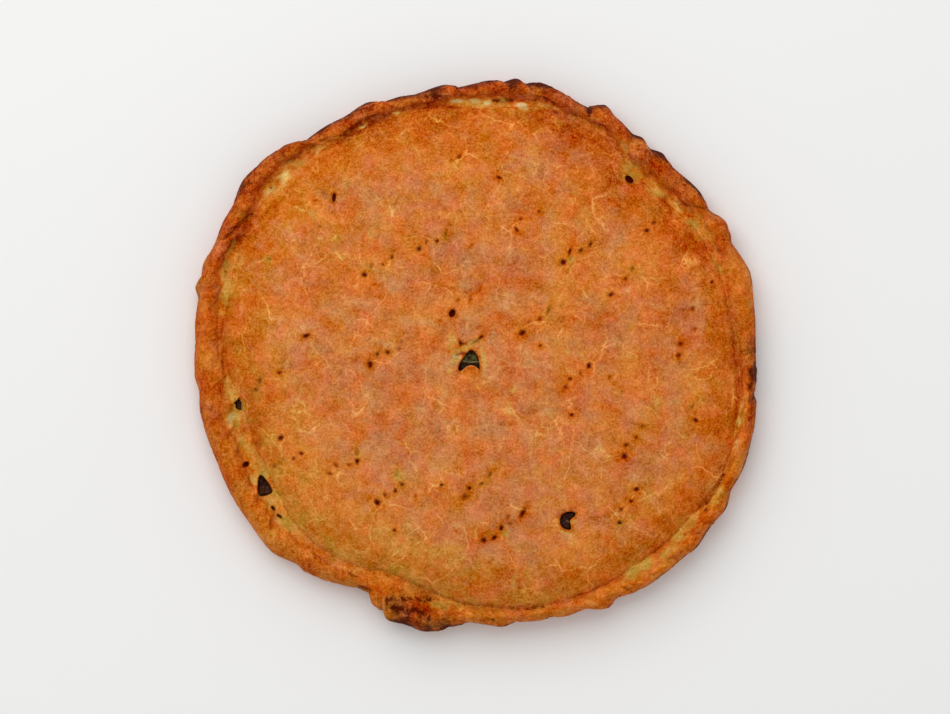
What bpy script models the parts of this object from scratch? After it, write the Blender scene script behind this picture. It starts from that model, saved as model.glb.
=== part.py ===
"""A round salt cod empanada: one baked pie with a domed lid and a rope of folds round its edge.

Metres, +Z up. The pie lies on its flat base, and the origin is in the middle of that base.
The crust is one solid. The dark filling that shows in its vents and in the gaps of its rim is
made of small pieces, each sitting in its own recess a hair clear of the crust.
Angles are in degrees, anticlockwise from +X.
"""
import math

import bmesh
import bpy
from mathutils import Matrix, Vector, noise

MM = 0.001
GAP = 0.3 * MM

# Heights of the pie.
DOME_HEIGHT = 38.0 * MM
GROOVE_HEIGHT = 16.5 * MM
CREASE_HEIGHT = 20.0 * MM
WIDEST_HEIGHT = 9.0 * MM
FOOT_INSET = 5.0 * MM

# The lid: a dome with a full shoulder, slightly lumpy over the filling.
DOME_FALL = 3.2
DOME_SHOULDER = 0.65
LUMP_HEIGHT = 1.3 * MM
LUMP_LENGTH = 46.0 * MM
LUMP_FADE = 4              # the lumps die away towards the lid's edge by this power
LID_EDGE = (  # radius of the lid's edge every 15 degrees, in millimetres
    151, 150, 147.5, 141, 148, 148.5, 145.5, 149.5, 149, 153.5, 153.5, 150,
    147.5, 141, 140.5, 145.5, 142.5, 138.5, 146, 151, 152.5, 154.5, 157.5, 156.5,
)
LID_STEP = 15
LID_RINGS = (  # each ring's share of the lid's radius, and how many columns it steps over
    (1.0, 1), (0.985, 1), (0.955, 2), (0.91, 2), (0.85, 4), (0.76, 4), (0.64, 4), (0.5, 8), (0.34, 8),
    (0.17, 16),
)
EVEN_INWARDS = 3           # the rings' points even out towards the middle by this power

# The radii of the lid's edge and of the folds are measured from this point of the base.
PIE_MIDDLE = (0.9 * MM, -1.0 * MM)

# The rope: each fold's crown as (angle, radius in millimetres), as it was turned in by hand.
FOLDS = (
    (6, 164), (17, 167), (28, 166), (38, 162), (47.5, 162), (53.5, 160.5), (63, 165.5), (76, 164.5),
    (82, 165), (88, 162.5), (97.5, 160.5), (107, 159), (114, 162), (124, 161.5), (135, 169),
    (143, 171.5), (152, 168.5), (161.5, 169), (166.5, 170), (174, 166.5), (183, 166), (192, 165.5),
    (202, 165), (212, 165.5), (223, 166.5), (232, 161.5), (239.5, 156.5), (249, 159.5), (253, 164),
    (260, 164), (275.5, 159.5), (284, 159.5), (290.5, 161), (298, 166), (308, 168), (319.5, 170.5),
    (328.5, 170.5), (338, 169), (346.5, 168), (357, 164.5),
)
STEPS_PER_FOLD = 6
CROWN_PLACE = 0.65         # the crown lies late in its fold, so the folds lap like shingles
FOLD_FULLNESS = 0.6        # below 1 the folds are plump, with narrow creases between them
CROWN_SHARE = 0.45         # how far across the rope its top lies
FOLD_SLANT = 7.0           # degrees that a crease turns on its way from the groove outwards
FOLD_LIFT = 3.6 * MM
TIGHT_LIFT_MOST = 1.2      # a tight crease lifts its fold by no more than this share
WIDTH_LIFT = 0.10          # a wide stretch of rope stands a little higher
ROPE_LEAST_WIDTH = 6.5 * MM
NOTCH_DEPTH = 1.2 * MM     # of a crease nine degrees from the next one
NOTCH_RISE = 0.3           # how far a notch rises from the lower crown beside it to the higher
FOLD_SPACING = 9.0
TIGHT_FOLDS = ((45, 60, 1.2), (60, 76, 2.6), (238, 252, 2.2), (160, 226, 0.5))  # from, to, depth

# Stretches of the groove where bare dough shows as a floor: from, to, width in millimetres.
BARE_DOUGH = (
    (18, 56, 6), (56, 72, 4), (72, 98, 5.5), (122, 150, 5), (152, 172, 6.5), (184, 228, 9.5),
    (257, 268, 7), (302, 312, 6), (312, 327, 5.5), (338, 359, 2.5),
)
GROOVE_LEAST = 0.8         # millimetres of floor where the rope lies against the lid
INNER_TURNS = (0, 32, 62, 90)
OUTER_TURNS = (28, 58, 90)
FOOT_TURNS = (45, 90)

# Fork pricks in the lid: middle of each row as x, y in millimetres, direction, number of tines.
FORK_ROWS = (
    (-57, 51.5, 32, 4), (-25, 65, 33, 4), (30, 78, 38, 3), (59, 59, 33, 4), (85.5, 42, 49, 4),
    (105, 75.5, 29, 3), (34.5, 18, 37, 4), (-4, 33.5, 22, 3), (-53, -1, 30, 4), (-121.5, -16, 36, 4),
    (59.5, -13, 42, 4), (123.5, 7.5, 58, 4), (131.5, -29.5, 73, 4), (92, -51, 60, 4),
    (89, -88.5, 63, 4), (-110, -61.5, 25, 4), (-77.5, -66, 26, 4), (-50.5, -81, 38, 4),
    (0.5, -77, 42, 4), (13, -103.5, 35, 4), (-12, 114, 27, 2), (-99, 11, 0, 1), (-114, -49, 0, 1),
    (56, -35, 0, 1), (14, 103.5, 0, 1), (-19.5, -76.5, 0, 1), (-48, -102.5, 0, 1),
    (27.5, -92.5, 0, 1), (127, 26.5, 0, 1), (130, 42.5, 0, 1),
)
TINE_PITCH = 6.3 * MM
PRICK_TOP_RADIUS = 1.1 * MM
PRICK_END_RADIUS = 0.5 * MM
PRICK_DEPTH = 3.5 * MM
PRICK_SIDES = 5

# Vents cut in the lid, and gaps in the groove: outlines in millimetres, and the filling's name.
FILLED_RECESSES = {
    "filling_centre_vent": (
        (2.8, -10), (2.6, -4), (0.6, 1), (-2.3, 3.4), (-5, 1.5), (-7.4, -2), (-10.1, -6), (-10.4, -10),
        (-8, -9.8), (-5.9, -7.6), (-2.6, -6.1), (0.7, -7.5),
    ),
    "filling_side_vent": (
        (58.4, -91.7), (53.8, -91.4), (50.4, -93), (49, -96), (49.2, -99.4), (51, -101.8), (55.7, -103.2),
        (56.2, -100.5), (55, -97.6), (56.4, -95.8), (58.8, -94.2),
    ),
    "filling_rim_gap_left": (
        (-138, -24.2), (-139.5, -27), (-141.4, -28.2), (-141.2, -30), (-138.9, -31.3), (-136.6, -33.4),
        (-135.8, -30.5), (-135.9, -27.3),
    ),
    "filling_rim_gap_lower": (
        (-126.7, -70.4), (-126.6, -78.5), (-124.9, -84), (-120.4, -82.5), (-118, -80.6), (-122.2, -75),
        (-123.8, -71.3),
    ),
}
RECESS_DEPTH = 8.0 * MM
FILLING_SUNK = 2.6 * MM    # how far the filling lies below the crust round it
FILLING_LUMP = 0.9 * MM
FILLING_GRAIN = 2.4 * MM

# Round holes: x, y, length, width in millimetres and the direction of the length.
HOLES = (
    (90, 102.3, 4.8, 4.6, 0), (-14.4, 25, 5.3, 4.1, 70), (-82.3, 91.7, 5.8, 4.6, 80),
    (-134.6, -64.5, 5.0, 3.8, 35), (-118.4, -90.1, 4.0, 2.3, -50), (-114.8, -94.7, 4.4, 2.1, -35),
)
HOLE_DEPTH = 6.0 * MM
HOLE_SIDES = 9
CUTTER_TOP = 60 * MM
ROPE_SIDE_RISE = 4 * MM    # how far the rope has risen where its inner side is cut

CRUST_ROUGHNESS = 0.6
FILLING_ROUGHNESS = 0.35

CRUST_BROWN = (0.58, 0.17, 0.035)
FILLING_DARK = (0.030, 0.018, 0.010)
FILLING_GREEN = (0.055, 0.060, 0.015)


def remove_everything():
    """Empty the file."""
    for thing in list(bpy.data.objects):
        bpy.data.objects.remove(thing)


def wrapped(angle):
    """Return the angle between 0 and 360 degrees."""
    return angle % 360


def lid_edge(angle):
    """Return the radius of the lid's edge, by a smooth curve through its radii."""
    place = wrapped(angle) / LID_STEP
    index = int(place)
    share = place - index
    count = len(LID_EDGE)
    before, here, after, beyond = (LID_EDGE[(index + k) % count] for k in (-1, 0, 1, 2))
    slope_here = (after - before) / 2
    slope_after = (beyond - here) / 2
    change = after - here
    bend = 3 * change - 2 * slope_here - slope_after
    twist = slope_here + slope_after - 2 * change
    return (here + slope_here * share + bend * share ** 2 + twist * share ** 3) * MM


def stretch_value(stretches, angle, otherwise):
    """Return the value of the stretch that holds the angle, easing in and out at its ends."""
    for start, end, value in stretches:
        if start <= angle <= end:
            ease = math.sin(math.pi * (angle - start) / (end - start)) ** 0.5
            return otherwise + (value - otherwise) * ease
    return otherwise


def groove_outside(angle):
    """Return the radius of the rope's inner foot: the lid's edge plus any bare dough."""
    return lid_edge(angle) + stretch_value(BARE_DOUGH, wrapped(angle), GROOVE_LEAST) * MM


def from_middle(x, y):
    """Return the angle and the radius of a point, seen from the pie's middle."""
    across, along = x - PIE_MIDDLE[0], y - PIE_MIDDLE[1]
    return math.degrees(math.atan2(along, across)), math.hypot(across, along)


def dome_height(x, y):
    """Return the height of the lid at a point."""
    angle, radius = from_middle(x, y)
    share = min(1.0, radius / lid_edge(angle))
    swell = (1 - share ** DOME_FALL) ** DOME_SHOULDER
    lump = noise.noise(Vector((x, y, 0)) / LUMP_LENGTH) * LUMP_HEIGHT * (1 - share ** LUMP_FADE)
    return GROOVE_HEIGHT + (DOME_HEIGHT - GROOVE_HEIGHT) * swell + lump


def fold_bulge(share, crown_share):
    """Return how full a fold is, 0 at its creases and 1 at its crown."""
    late = math.log(0.5) / math.log(crown_share)
    return max(0.0, math.sin(math.pi * share ** late)) ** FOLD_FULLNESS


def fold_ends():
    """Return each fold as its first and last angle, their notch radii, its crown's angle and radius."""
    count = len(FOLDS)
    creases = []
    for index, (angle, reach) in enumerate(FOLDS):
        next_angle, next_reach = FOLDS[(index + 1) % count]
        spacing = (next_angle - angle) % 360
        crease = angle + (1 - CROWN_PLACE) * spacing
        depth = NOTCH_DEPTH * spacing / FOLD_SPACING * stretch_value(TIGHT_FOLDS, wrapped(crease), 1.0)
        lower, higher = sorted((reach * MM, next_reach * MM))
        creases.append((crease, lower + NOTCH_RISE * (higher - lower) - depth))
    folds = []
    for index, (angle, reach) in enumerate(FOLDS):
        start, start_notch = creases[index - 1]
        end, end_notch = creases[index]
        if start > end:
            start -= 360
        folds.append((start, end, start_notch, end_notch, angle, reach * MM))
    return folds


def rope_columns():
    """Return every column round the rope as its angle, outer radius and fullness."""
    columns = []
    for start, end, start_notch, end_notch, crown, reach in fold_ends():
        crown_share = (crown - start) / (end - start)
        for step in range(STEPS_PER_FOLD):
            share = step / STEPS_PER_FOLD
            angle = start + share * (end - start)
            notch = start_notch + share * (end_notch - start_notch)
            bulge = fold_bulge(share, crown_share)
            columns.append((angle, notch + (reach - notch) * bulge, bulge))
    return columns


def rope_section(foot, crown_height, reach):
    """Return the rope's cross-section as (share of the way out, radius, height), groove to base."""
    crown = foot + CROWN_SHARE * (reach - foot)
    points = []
    for turn in INNER_TURNS:
        radius = foot + (crown - foot) * (1 - math.cos(math.radians(turn)))
        height = GROOVE_HEIGHT + (crown_height - GROOVE_HEIGHT) * math.sin(math.radians(turn))
        points.append((CROWN_SHARE * turn / 90, radius, height))
    for turn in OUTER_TURNS:
        radius = crown + (reach - crown) * math.sin(math.radians(turn))
        height = WIDEST_HEIGHT + (crown_height - WIDEST_HEIGHT) * math.cos(math.radians(turn))
        points.append((CROWN_SHARE + (1 - CROWN_SHARE) * turn / 90, radius, height))
    for turn in FOOT_TURNS:
        radius = reach - FOOT_INSET * (1 - math.cos(math.radians(turn)))
        height = WIDEST_HEIGHT * (1 - math.sin(math.radians(turn)))
        points.append((1.0, radius, height))
    return points


def point_at(angle, radius, height):
    """Return a point from its angle, radius and height."""
    turn = math.radians(angle)
    x, y = PIE_MIDDLE
    return Vector((x + radius * math.cos(turn), y + radius * math.sin(turn), height))


def join_rings(mesh, outer, inner):
    """Join two rings of points by faces, where the inner has as many points or half as many."""
    count = len(outer)
    if len(inner) == count:
        for index in range(count):
            after = (index + 1) % count
            mesh.faces.new((outer[index], outer[after], inner[after], inner[index]))
        return
    for index, near in enumerate(inner):
        beyond = inner[(index + 1) % len(inner)]
        first, middle, last = (outer[(2 * index + k) % count] for k in (0, 1, 2))
        mesh.faces.new((first, middle, near))
        mesh.faces.new((middle, beyond, near))
        mesh.faces.new((middle, last, beyond))


def rope_rings(mesh):
    """Add the rope's rings of points, from the base up its outside and down into the groove."""
    sections = []
    for angle, reach, bulge in rope_columns():
        foot_angle = angle - FOLD_SLANT
        foot = min(groove_outside(foot_angle), reach - ROPE_LEAST_WIDTH)
        relief = stretch_value(TIGHT_FOLDS, wrapped(angle), 1.0)
        lift = FOLD_LIFT * bulge * min(TIGHT_LIFT_MOST, relief)
        crown_height = CREASE_HEIGHT + lift + WIDTH_LIFT * (reach - foot)
        section = []
        for share, radius, height in rope_section(foot, crown_height, reach):
            section.append(point_at(angle - FOLD_SLANT * (1 - share), radius, height))
        sections.append(section[::-1])
    rings = []
    for level in range(len(sections[0])):
        rings.append([mesh.verts.new(section[level]) for section in sections])
    return rings


def lid_rings(mesh):
    """Add the lid's rings of points, with fewer in each towards the middle."""
    angles = [column[0] - FOLD_SLANT for column in rope_columns()]
    count = len(angles)
    rings = []
    for share, skip in LID_RINGS:
        ring = []
        for index in range(0, count, skip):
            even = angles[0] + 360 * index / count
            angle = even + (angles[index] - even) * share ** EVEN_INWARDS
            radius = share * lid_edge(angle)
            place = point_at(angle, radius, 0)
            place.z = dome_height(place.x, place.y)
            ring.append(mesh.verts.new(place))
        rings.append(ring)
    return rings


def whole_crust():
    """Return the mesh of the closed pie before anything is cut in it."""
    mesh = bmesh.new()
    rope = rope_rings(mesh)
    lid = lid_rings(mesh)
    rings = rope + lid
    for outer, inner in zip(rings, rings[1:]):
        join_rings(mesh, outer, inner)
    middle = mesh.verts.new((*PIE_MIDDLE, dome_height(*PIE_MIDDLE)))
    last = lid[-1]
    for index, near in enumerate(last):
        mesh.faces.new((near, last[(index + 1) % len(last)], middle))
    mesh.faces.new(rope[0][::-1])
    return mesh


def finish(name, mesh, colour, roughness):
    """Make an object of the mesh with its own material."""
    bmesh.ops.recalc_face_normals(mesh, faces=mesh.faces)
    data = bpy.data.meshes.new(name)
    mesh.to_mesh(data)
    mesh.free()
    thing = bpy.data.objects.new(name, data)
    bpy.context.scene.collection.objects.link(thing)
    material = bpy.data.materials.new(name)
    material.use_nodes = True
    shader = material.node_tree.nodes["Principled BSDF"]
    shader.inputs["Base Color"].default_value = (*colour, 1.0)
    shader.inputs["Roughness"].default_value = roughness
    data.materials.append(material)
    return thing


def outline_middle(outline):
    """Return the middle of an outline."""
    return sum(outline, Vector((0, 0))) / len(outline)


def shrunk(outline, margin):
    """Return the outline, which runs anticlockwise, drawn in by the margin."""
    inner = []
    count = len(outline)
    for index, point in enumerate(outline):
        before = (point - outline[index - 1]).normalized()
        after = (outline[(index + 1) % count] - point).normalized()
        inward = Vector((-after.y, after.x))
        middle = (Vector((-before.y, before.x)) + inward).normalized()
        inner.append(point + middle * margin / middle.dot(inward))
    return inner


def prism(mesh, outline, low, high):
    """Add a closed upright block with the outline, between two heights."""
    corners = [mesh.verts.new((point.x, point.y, low)) for point in outline]
    floor = mesh.faces.new(corners)
    raised = bmesh.ops.extrude_face_region(mesh, geom=[floor])
    top = [item for item in raised["geom"] if isinstance(item, bmesh.types.BMVert)]
    bmesh.ops.translate(mesh, verts=top, vec=(0, 0, high - low))


def oval(x, y, length, width, direction, sides):
    """Return the outline of an oval hole."""
    turn = Matrix.Rotation(math.radians(direction), 2)
    points = []
    for index in range(sides):
        angle = 2 * math.pi * index / sides
        across = Vector((length / 2 * math.cos(angle), width / 2 * math.sin(angle)))
        points.append(Vector((x, y)) + turn @ across)
    return points


def crust_height(x, y):
    """Return about how high the crust is at a point of the lid, the groove or the rope."""
    angle, radius = from_middle(x, y)
    if radius < lid_edge(angle):
        return dome_height(x, y)
    return GROOVE_HEIGHT + min(ROPE_SIDE_RISE, max(0.0, radius - groove_outside(angle)))


def recess_floor(outline):
    """Return the height of the floor of a recess with this outline."""
    middle = outline_middle(outline)
    return crust_height(middle.x, middle.y) - RECESS_DEPTH


def in_metres(outline):
    """Return an outline of millimetres in metres."""
    return [Vector(point) * MM for point in outline]


def cutter(name, mesh, cutters):
    """Make a mesh a cutter of the crust."""
    thing = finish(name, mesh, CRUST_BROWN, CRUST_ROUGHNESS)
    bpy.context.scene.collection.objects.unlink(thing)
    cutters.objects.link(thing)
    thing.hide_render = True
    thing.display_type = "WIRE"


def fork_prick_cutter(cutters):
    """Make the pegs that press the fork's pricks."""
    mesh = bmesh.new()
    for x, y, direction, tines in FORK_ROWS:
        step = Matrix.Rotation(math.radians(direction), 2) @ Vector((TINE_PITCH, 0))
        for tine in range(tines):
            place = Vector((x, y)) * MM + step * (tine - (tines - 1) / 2)
            surface = dome_height(place.x, place.y)
            bmesh.ops.create_cone(
                mesh, cap_ends=True, segments=PRICK_SIDES,
                radius1=PRICK_END_RADIUS, radius2=PRICK_TOP_RADIUS, depth=2 * PRICK_DEPTH,
                matrix=Matrix.Translation((place.x, place.y, surface)),
            )
    cutter("fork_pricks", mesh, cutters)


def hole_and_vent_cutter(cutters):
    """Make the blocks that cut the vents, the gaps and the round holes."""
    mesh = bmesh.new()
    for outline in FILLED_RECESSES.values():
        metres = in_metres(outline)
        prism(mesh, metres, recess_floor(metres), CUTTER_TOP)
    for x, y, length, width, direction in HOLES:
        outline = oval(x * MM, y * MM, length * MM, width * MM, direction, HOLE_SIDES)
        prism(mesh, outline, crust_height(x * MM, y * MM) - HOLE_DEPTH, CUTTER_TOP)
    cutter("vents_and_holes", mesh, cutters)


def filling(name, outline, colour):
    """Make the lumpy filling that shows in a recess."""
    metres = in_metres(outline)
    floor = recess_floor(metres) + GAP
    top = floor - GAP + RECESS_DEPTH - FILLING_SUNK
    mesh = bmesh.new()
    prism(mesh, shrunk(metres, GAP), floor, top)
    upper = [face for face in mesh.faces if face.calc_center_median().z > top - GAP]
    bmesh.ops.triangulate(mesh, faces=upper)
    upper_edges = [edge for edge in mesh.edges if min(vert.co.z for vert in edge.verts) > top - GAP]
    bmesh.ops.subdivide_edges(mesh, edges=upper_edges, cuts=2, use_grid_fill=True)
    bmesh.ops.triangulate(mesh, faces=mesh.faces)
    for vert in mesh.verts:
        if vert.co.z > top - GAP:
            vert.co.z += noise.noise(vert.co / FILLING_GRAIN) * FILLING_LUMP
    finish(name, mesh, colour, FILLING_ROUGHNESS)


def centre_on_base():
    """Move the whole model so that the middle of its extent lies over the origin."""
    crust = bpy.data.objects["crust"]
    xs = [vert.co.x for vert in crust.data.vertices]
    ys = [vert.co.y for vert in crust.data.vertices]
    move = Matrix.Translation((-(min(xs) + max(xs)) / 2, -(min(ys) + max(ys)) / 2, 0))
    for thing in bpy.data.objects:
        thing.data.transform(move)


def build():
    """Build the pie."""
    remove_everything()
    crust = finish("crust", whole_crust(), CRUST_BROWN, CRUST_ROUGHNESS)
    cutters = bpy.data.collections.new("cutters")
    bpy.context.scene.collection.children.link(cutters)
    fork_prick_cutter(cutters)
    hole_and_vent_cutter(cutters)
    cut = crust.modifiers.new("vents, holes and pricks", "BOOLEAN")
    cut.operand_type = "COLLECTION"
    cut.collection = cutters
    cut.operation = "DIFFERENCE"
    cut.solver = "EXACT"
    for name, outline in FILLED_RECESSES.items():
        colour = FILLING_GREEN if name == "filling_centre_vent" else FILLING_DARK
        filling(name, outline, colour)
    centre_on_base()


build()
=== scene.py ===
"""The looks of a round salt cod empanada: a domed, fork-pricked lid inside a rope of folded dough.

Metres, +Z up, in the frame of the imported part. Angles are in degrees, anticlockwise from +X.
"""

import math

import bpy
import numpy as np
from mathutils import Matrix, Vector, noise


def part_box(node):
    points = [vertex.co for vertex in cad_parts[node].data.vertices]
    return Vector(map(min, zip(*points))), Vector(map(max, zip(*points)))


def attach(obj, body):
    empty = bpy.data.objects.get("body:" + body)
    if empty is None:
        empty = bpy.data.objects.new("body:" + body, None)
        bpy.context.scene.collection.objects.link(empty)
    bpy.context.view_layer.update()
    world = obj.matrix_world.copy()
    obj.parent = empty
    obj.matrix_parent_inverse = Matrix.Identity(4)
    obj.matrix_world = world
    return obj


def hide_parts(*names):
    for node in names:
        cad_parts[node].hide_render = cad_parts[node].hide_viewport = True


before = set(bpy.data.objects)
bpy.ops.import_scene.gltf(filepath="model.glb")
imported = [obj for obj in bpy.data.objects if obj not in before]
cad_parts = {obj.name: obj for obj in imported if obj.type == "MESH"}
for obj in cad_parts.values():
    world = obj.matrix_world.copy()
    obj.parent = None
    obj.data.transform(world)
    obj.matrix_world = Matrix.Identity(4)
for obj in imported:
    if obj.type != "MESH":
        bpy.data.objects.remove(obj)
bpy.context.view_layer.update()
bpy.context.scene.view_settings.view_transform = "Standard"

# The bottom sheet and its rope: a disc of bread dough whose edge is folded in over the lid, bit by
# bit, with the thumb. The folds fuse in the oven into one uneven rope, scorched on its crowns, with
# softer dough showing pale in the groove inside it.
MM = 0.001
CENTRED = np.array((0, 0.3)) * MM  # from the middle of the plan to the middle of the part's box
PIE_MIDDLE = np.array((0.9, -0.7)) * MM
RIM_RADIUS = 150 * MM  # about where the lid meets the rope
WRINKLE_LENGTH = 6 * MM  # along the rim
WRINKLE_WIDTH = 1.4 * MM
GROOVE_HEIGHT = 16.5 * MM  # where the lid meets the rope
WIDEST_HEIGHT = 9.0 * MM  # where the rope's outer side reaches furthest
FOOT_INSET = 5.0 * MM  # how far inside its reach the rope stands on its foot
LID_EDGE = np.array((  # radius of the lid's edge every 15 degrees, in millimetres
    151, 150, 147.5, 141, 148, 148.5, 145.5, 149.5, 149, 153.5, 153.5, 150,
    147.5, 141, 140.5, 145.5, 142.5, 138.5, 146, 151, 152.5, 154.5, 157.5, 156.5,
))
LID_STEP = 15
LID_TOUCHES = (  # short bays and bulges of the lid's edge: angle, half-width in degrees, millimetres
    (50, 3, -2.2), (191, 3.2, -3.6), (246, 6, -2.5), (336, 5, 2.3),
)
ROPE_REACH = np.array((  # the rope's outer edge at its bulges and notches: angle, millimetres
    (3, 163.5), (10, 165), (17, 167.5), (24.5, 163.4), (28.5, 165.9), (32.4, 160.9), (36.5, 162.3),
    (44.5, 159.4), (47.5, 161.2), (50.5, 158.5), (53, 160.6), (55, 159.1), (60, 162.1), (63, 165.3),
    (67, 159.7), (77, 164.7), (80.5, 162.3), (82, 164.4), (85, 161.2), (86.2, 162.3), (94.2, 158),
    (96.8, 160.3), (103.5, 157.7), (107, 158.8), (110, 158.8), (113.8, 162.1), (119, 160.5), (124, 161.5),
    (128.5, 161.5), (133, 167.6), (138, 170.3), (143, 171.7), (149, 168.2), (152, 168.5), (157, 167.3),
    (161.5, 169.4), (164, 168.2), (166.2, 170), (168.5, 166.7), (173, 166.5), (177, 165.4), (184, 166),
    (187.3, 164.1), (191.5, 165.6), (202, 164.7), (211, 165.6), (216, 165.3), (223.5, 166.5),
    (229.5, 161.2), (231.5, 161.8), (235, 159.4), (240, 155.3), (242.8, 153), (246, 152.7), (248, 158.5),
    (249.3, 159.4), (250.3, 158.3), (251.5, 163.5), (255, 162.9), (259, 164.4), (262, 162.9),
    (265, 159.4), (268.8, 155.9), (275.5, 159.4), (278.5, 157.4), (284, 159.4), (286.3, 159.1),
    (289.5, 161.2), (293.5, 161.2), (297.7, 166.5), (300.3, 163.8), (304, 166.5), (309, 168.2),
    (314, 168.8), (319.5, 170.8), (324.5, 169.4), (328.5, 171.1), (332.5, 168.5), (337.5, 169.4),
    (345, 167.9), (350.5, 166.2), (352.3, 163.8), (356.5, 164.7), (358.8, 163.5),
))
BULGE_SPAN = 14  # degrees over which a bulge stands out from its neighbours
BULGE_LIFT = 0.7  # how much higher a bulge stands, for how far it reaches
CROWN_SHARE = 0.45  # of the rope's width, from its inner foot to its crown
CROWN_FULLNESS = 0.35  # of the slope inside the crown, from 0, an even S, to 1, round
FOLD_SLANT = 5.0  # degrees from a fold's outer end back to its inner foot
ROPE_RISE = 6.4 * MM  # from the groove to the crown
WIDTH_LIFT = 0.10  # how much higher the rope stands, for its width
ROPE_LEAST_WIDTH = 6.5 * MM
BARE_DOUGH = (  # stretches where softer dough shows in the groove: from, to, width in millimetres
    (18, 56, 6), (56, 72, 4), (72, 98, 5.5), (122, 150, 5), (152, 172, 6.5), (184, 228, 9.5),
    (257, 268, 7), (302, 312, 6), (312, 327, 5.5), (338, 359, 2.5),
)
GROOVE_LEAST = 0.8  # its width elsewhere
FUSED = (  # stretches where the rope has baked onto the lid: from, to, how full the groove is, mm
    (0, 34, 3), (96, 112, 2.4), (120, 184, 1.6), (228, 257, 3), (268, 302, 2.4), (328, 360, 1.8),
)
GROOVE_FULL = 0.9  # how full it is elsewhere
ROPE_COLUMNS = 1440
PLAIN_RING = (0.148, 0.153, 0.025, 0.165, 0.0165)  # lid, foot, height, reach and groove, unshaped
HIDDEN_SHARES = (0.0, 0.5, 0.985)  # of the lid's radius, on the sheet under the lid
HIDDEN_DROP = 3.0 * MM  # how far that sheet lies below the groove
HIDDEN_LAP = 0.4 * MM  # how far the groove's floor begins inside the lid's edge
FLOOR_POINTS = 7
INNER_POINTS = 10
OUTER_POINTS = 18
FOOT_POINTS = 5
BASE_SHARES = (0.93, 0.62, 0.3, 0.0)  # of the foot's radius, on the underside


def soft_step(low, high, value):
    """Return 0 below low and 1 above high, easing between them."""
    share = np.clip((value - low) / (high - low), 0, 1)
    return share * share * (3 - 2 * share)


def hill(distance, width):
    """Return 1 at no distance, dying away over the width."""
    return np.exp(-(distance / width) ** 2)


def turned(angle, middle):
    """Return the angle seen from a middle angle, from -180 to 180."""
    return (angle - middle + 180) % 360 - 180


def waves(points, length, seed=0):
    """Return smooth noise between about -1 and 1 with lumps of this length."""
    scaled = points / length + seed * 17.3
    return np.array([noise.noise(place) for place in scaled.tolist()])


def rim_waves(angle, length, seed):
    """Return smooth noise that runs round the rim, with waves of this length in millimetres."""
    turn = np.radians(np.arange(0, 360, 0.25))
    ring = np.stack([np.cos(turn), np.sin(turn), 0 * turn], axis=1) * RIM_RADIUS
    return np.interp(angle % 360, np.degrees(turn), waves(ring, length * MM, seed), period=360)


def rim_wrinkles(angle, radius, seed):
    """Return smooth noise drawn out along the rim, as dough wrinkles where it's pulled."""
    turn = np.radians(angle)
    round_it = RIM_RADIUS / WRINKLE_LENGTH
    drawn = [round_it * np.cos(turn), round_it * np.sin(turn), radius / WRINKLE_WIDTH]
    return waves(np.stack(drawn, axis=1), 1, seed)


def swayed(points, amount, length, seed):
    """Return the points moved to and fro by up to this amount, with waves of this length."""
    return points + amount * np.stack([waves(points, length, seed + axis) for axis in range(3)], axis=1)


def lid_edge(angle):
    """Return the radius of the lid's edge, by a smooth curve through its radii."""
    place = (angle % 360) / LID_STEP
    index = place.astype(int)
    share = place - index
    before, here, after, beyond = (LID_EDGE[(index + k) % len(LID_EDGE)] for k in (-1, 0, 1, 2))
    slope_here = (after - before) / 2
    slope_after = (beyond - here) / 2
    change = after - here
    bend = 3 * change - 2 * slope_here - slope_after
    twist = slope_here + slope_after - 2 * change
    edge = here + slope_here * share + bend * share ** 2 + twist * share ** 3
    for middle, width, touch in LID_TOUCHES:
        edge += touch * hill(turned(angle, middle), width)
    return (edge + 0.9 * rim_waves(angle, 13, 51) + 0.8 * rim_waves(angle, 5, 52)) * MM


def stretch_value(stretches, angle, otherwise):
    """Return the value of the stretch that holds each angle, easing in and out at its ends."""
    around = angle % 360
    values = np.full_like(around, otherwise)
    for start, end, value in stretches:
        inside = (around >= start) & (around <= end)
        ease = np.sin(np.pi * (around[inside] - start) / (end - start)) ** 0.5
        values[inside] = otherwise + (value - otherwise) * ease
    return values


def edge_through(angle):
    """Return the rope's outer edge, easing from each bulge or notch to the next."""
    angles = np.append(ROPE_REACH[:, 0], ROPE_REACH[0, 0] + 360)
    radii = np.append(ROPE_REACH[:, 1], ROPE_REACH[0, 1])
    around = (angle - angles[0]) % 360 + angles[0]
    index = np.clip(np.searchsorted(angles, around, side="right") - 1, 0, len(angles) - 2)
    share = (around - angles[index]) / (angles[index + 1] - angles[index])
    ease = 0.4 * share + 0.6 * share * share * (3 - 2 * share)
    return (radii[index] + (radii[index + 1] - radii[index]) * ease) * MM


def groove_height(angle):
    """Return the height at which the lid meets the rope."""
    return GROOVE_HEIGHT + stretch_value(FUSED, angle, GROOVE_FULL) * MM


def rope_facts(column):
    """Return the rope's reach, crown height, inner foot and groove height at each column's angle."""
    reach = edge_through(column)
    spread = np.linspace(-BULGE_SPAN / 2, BULGE_SPAN / 2, 15)
    bulge = reach - np.mean([edge_through(column + step) for step in spread], axis=0)
    foot_angle = column - FOLD_SLANT
    bare = stretch_value(BARE_DOUGH, foot_angle, GROOVE_LEAST) * MM
    bare *= 1 + 0.5 * rim_waves(foot_angle, 9, 53) + 0.35 * rim_waves(foot_angle, 4, 54)
    foot = np.minimum(lid_edge(foot_angle) + bare, reach - ROPE_LEAST_WIDTH)
    groove = groove_height(foot_angle)
    height = GROOVE_HEIGHT + ROPE_RISE + BULGE_LIFT * bulge + WIDTH_LIFT * (reach - foot)
    return foot, height, reach, groove


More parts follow.
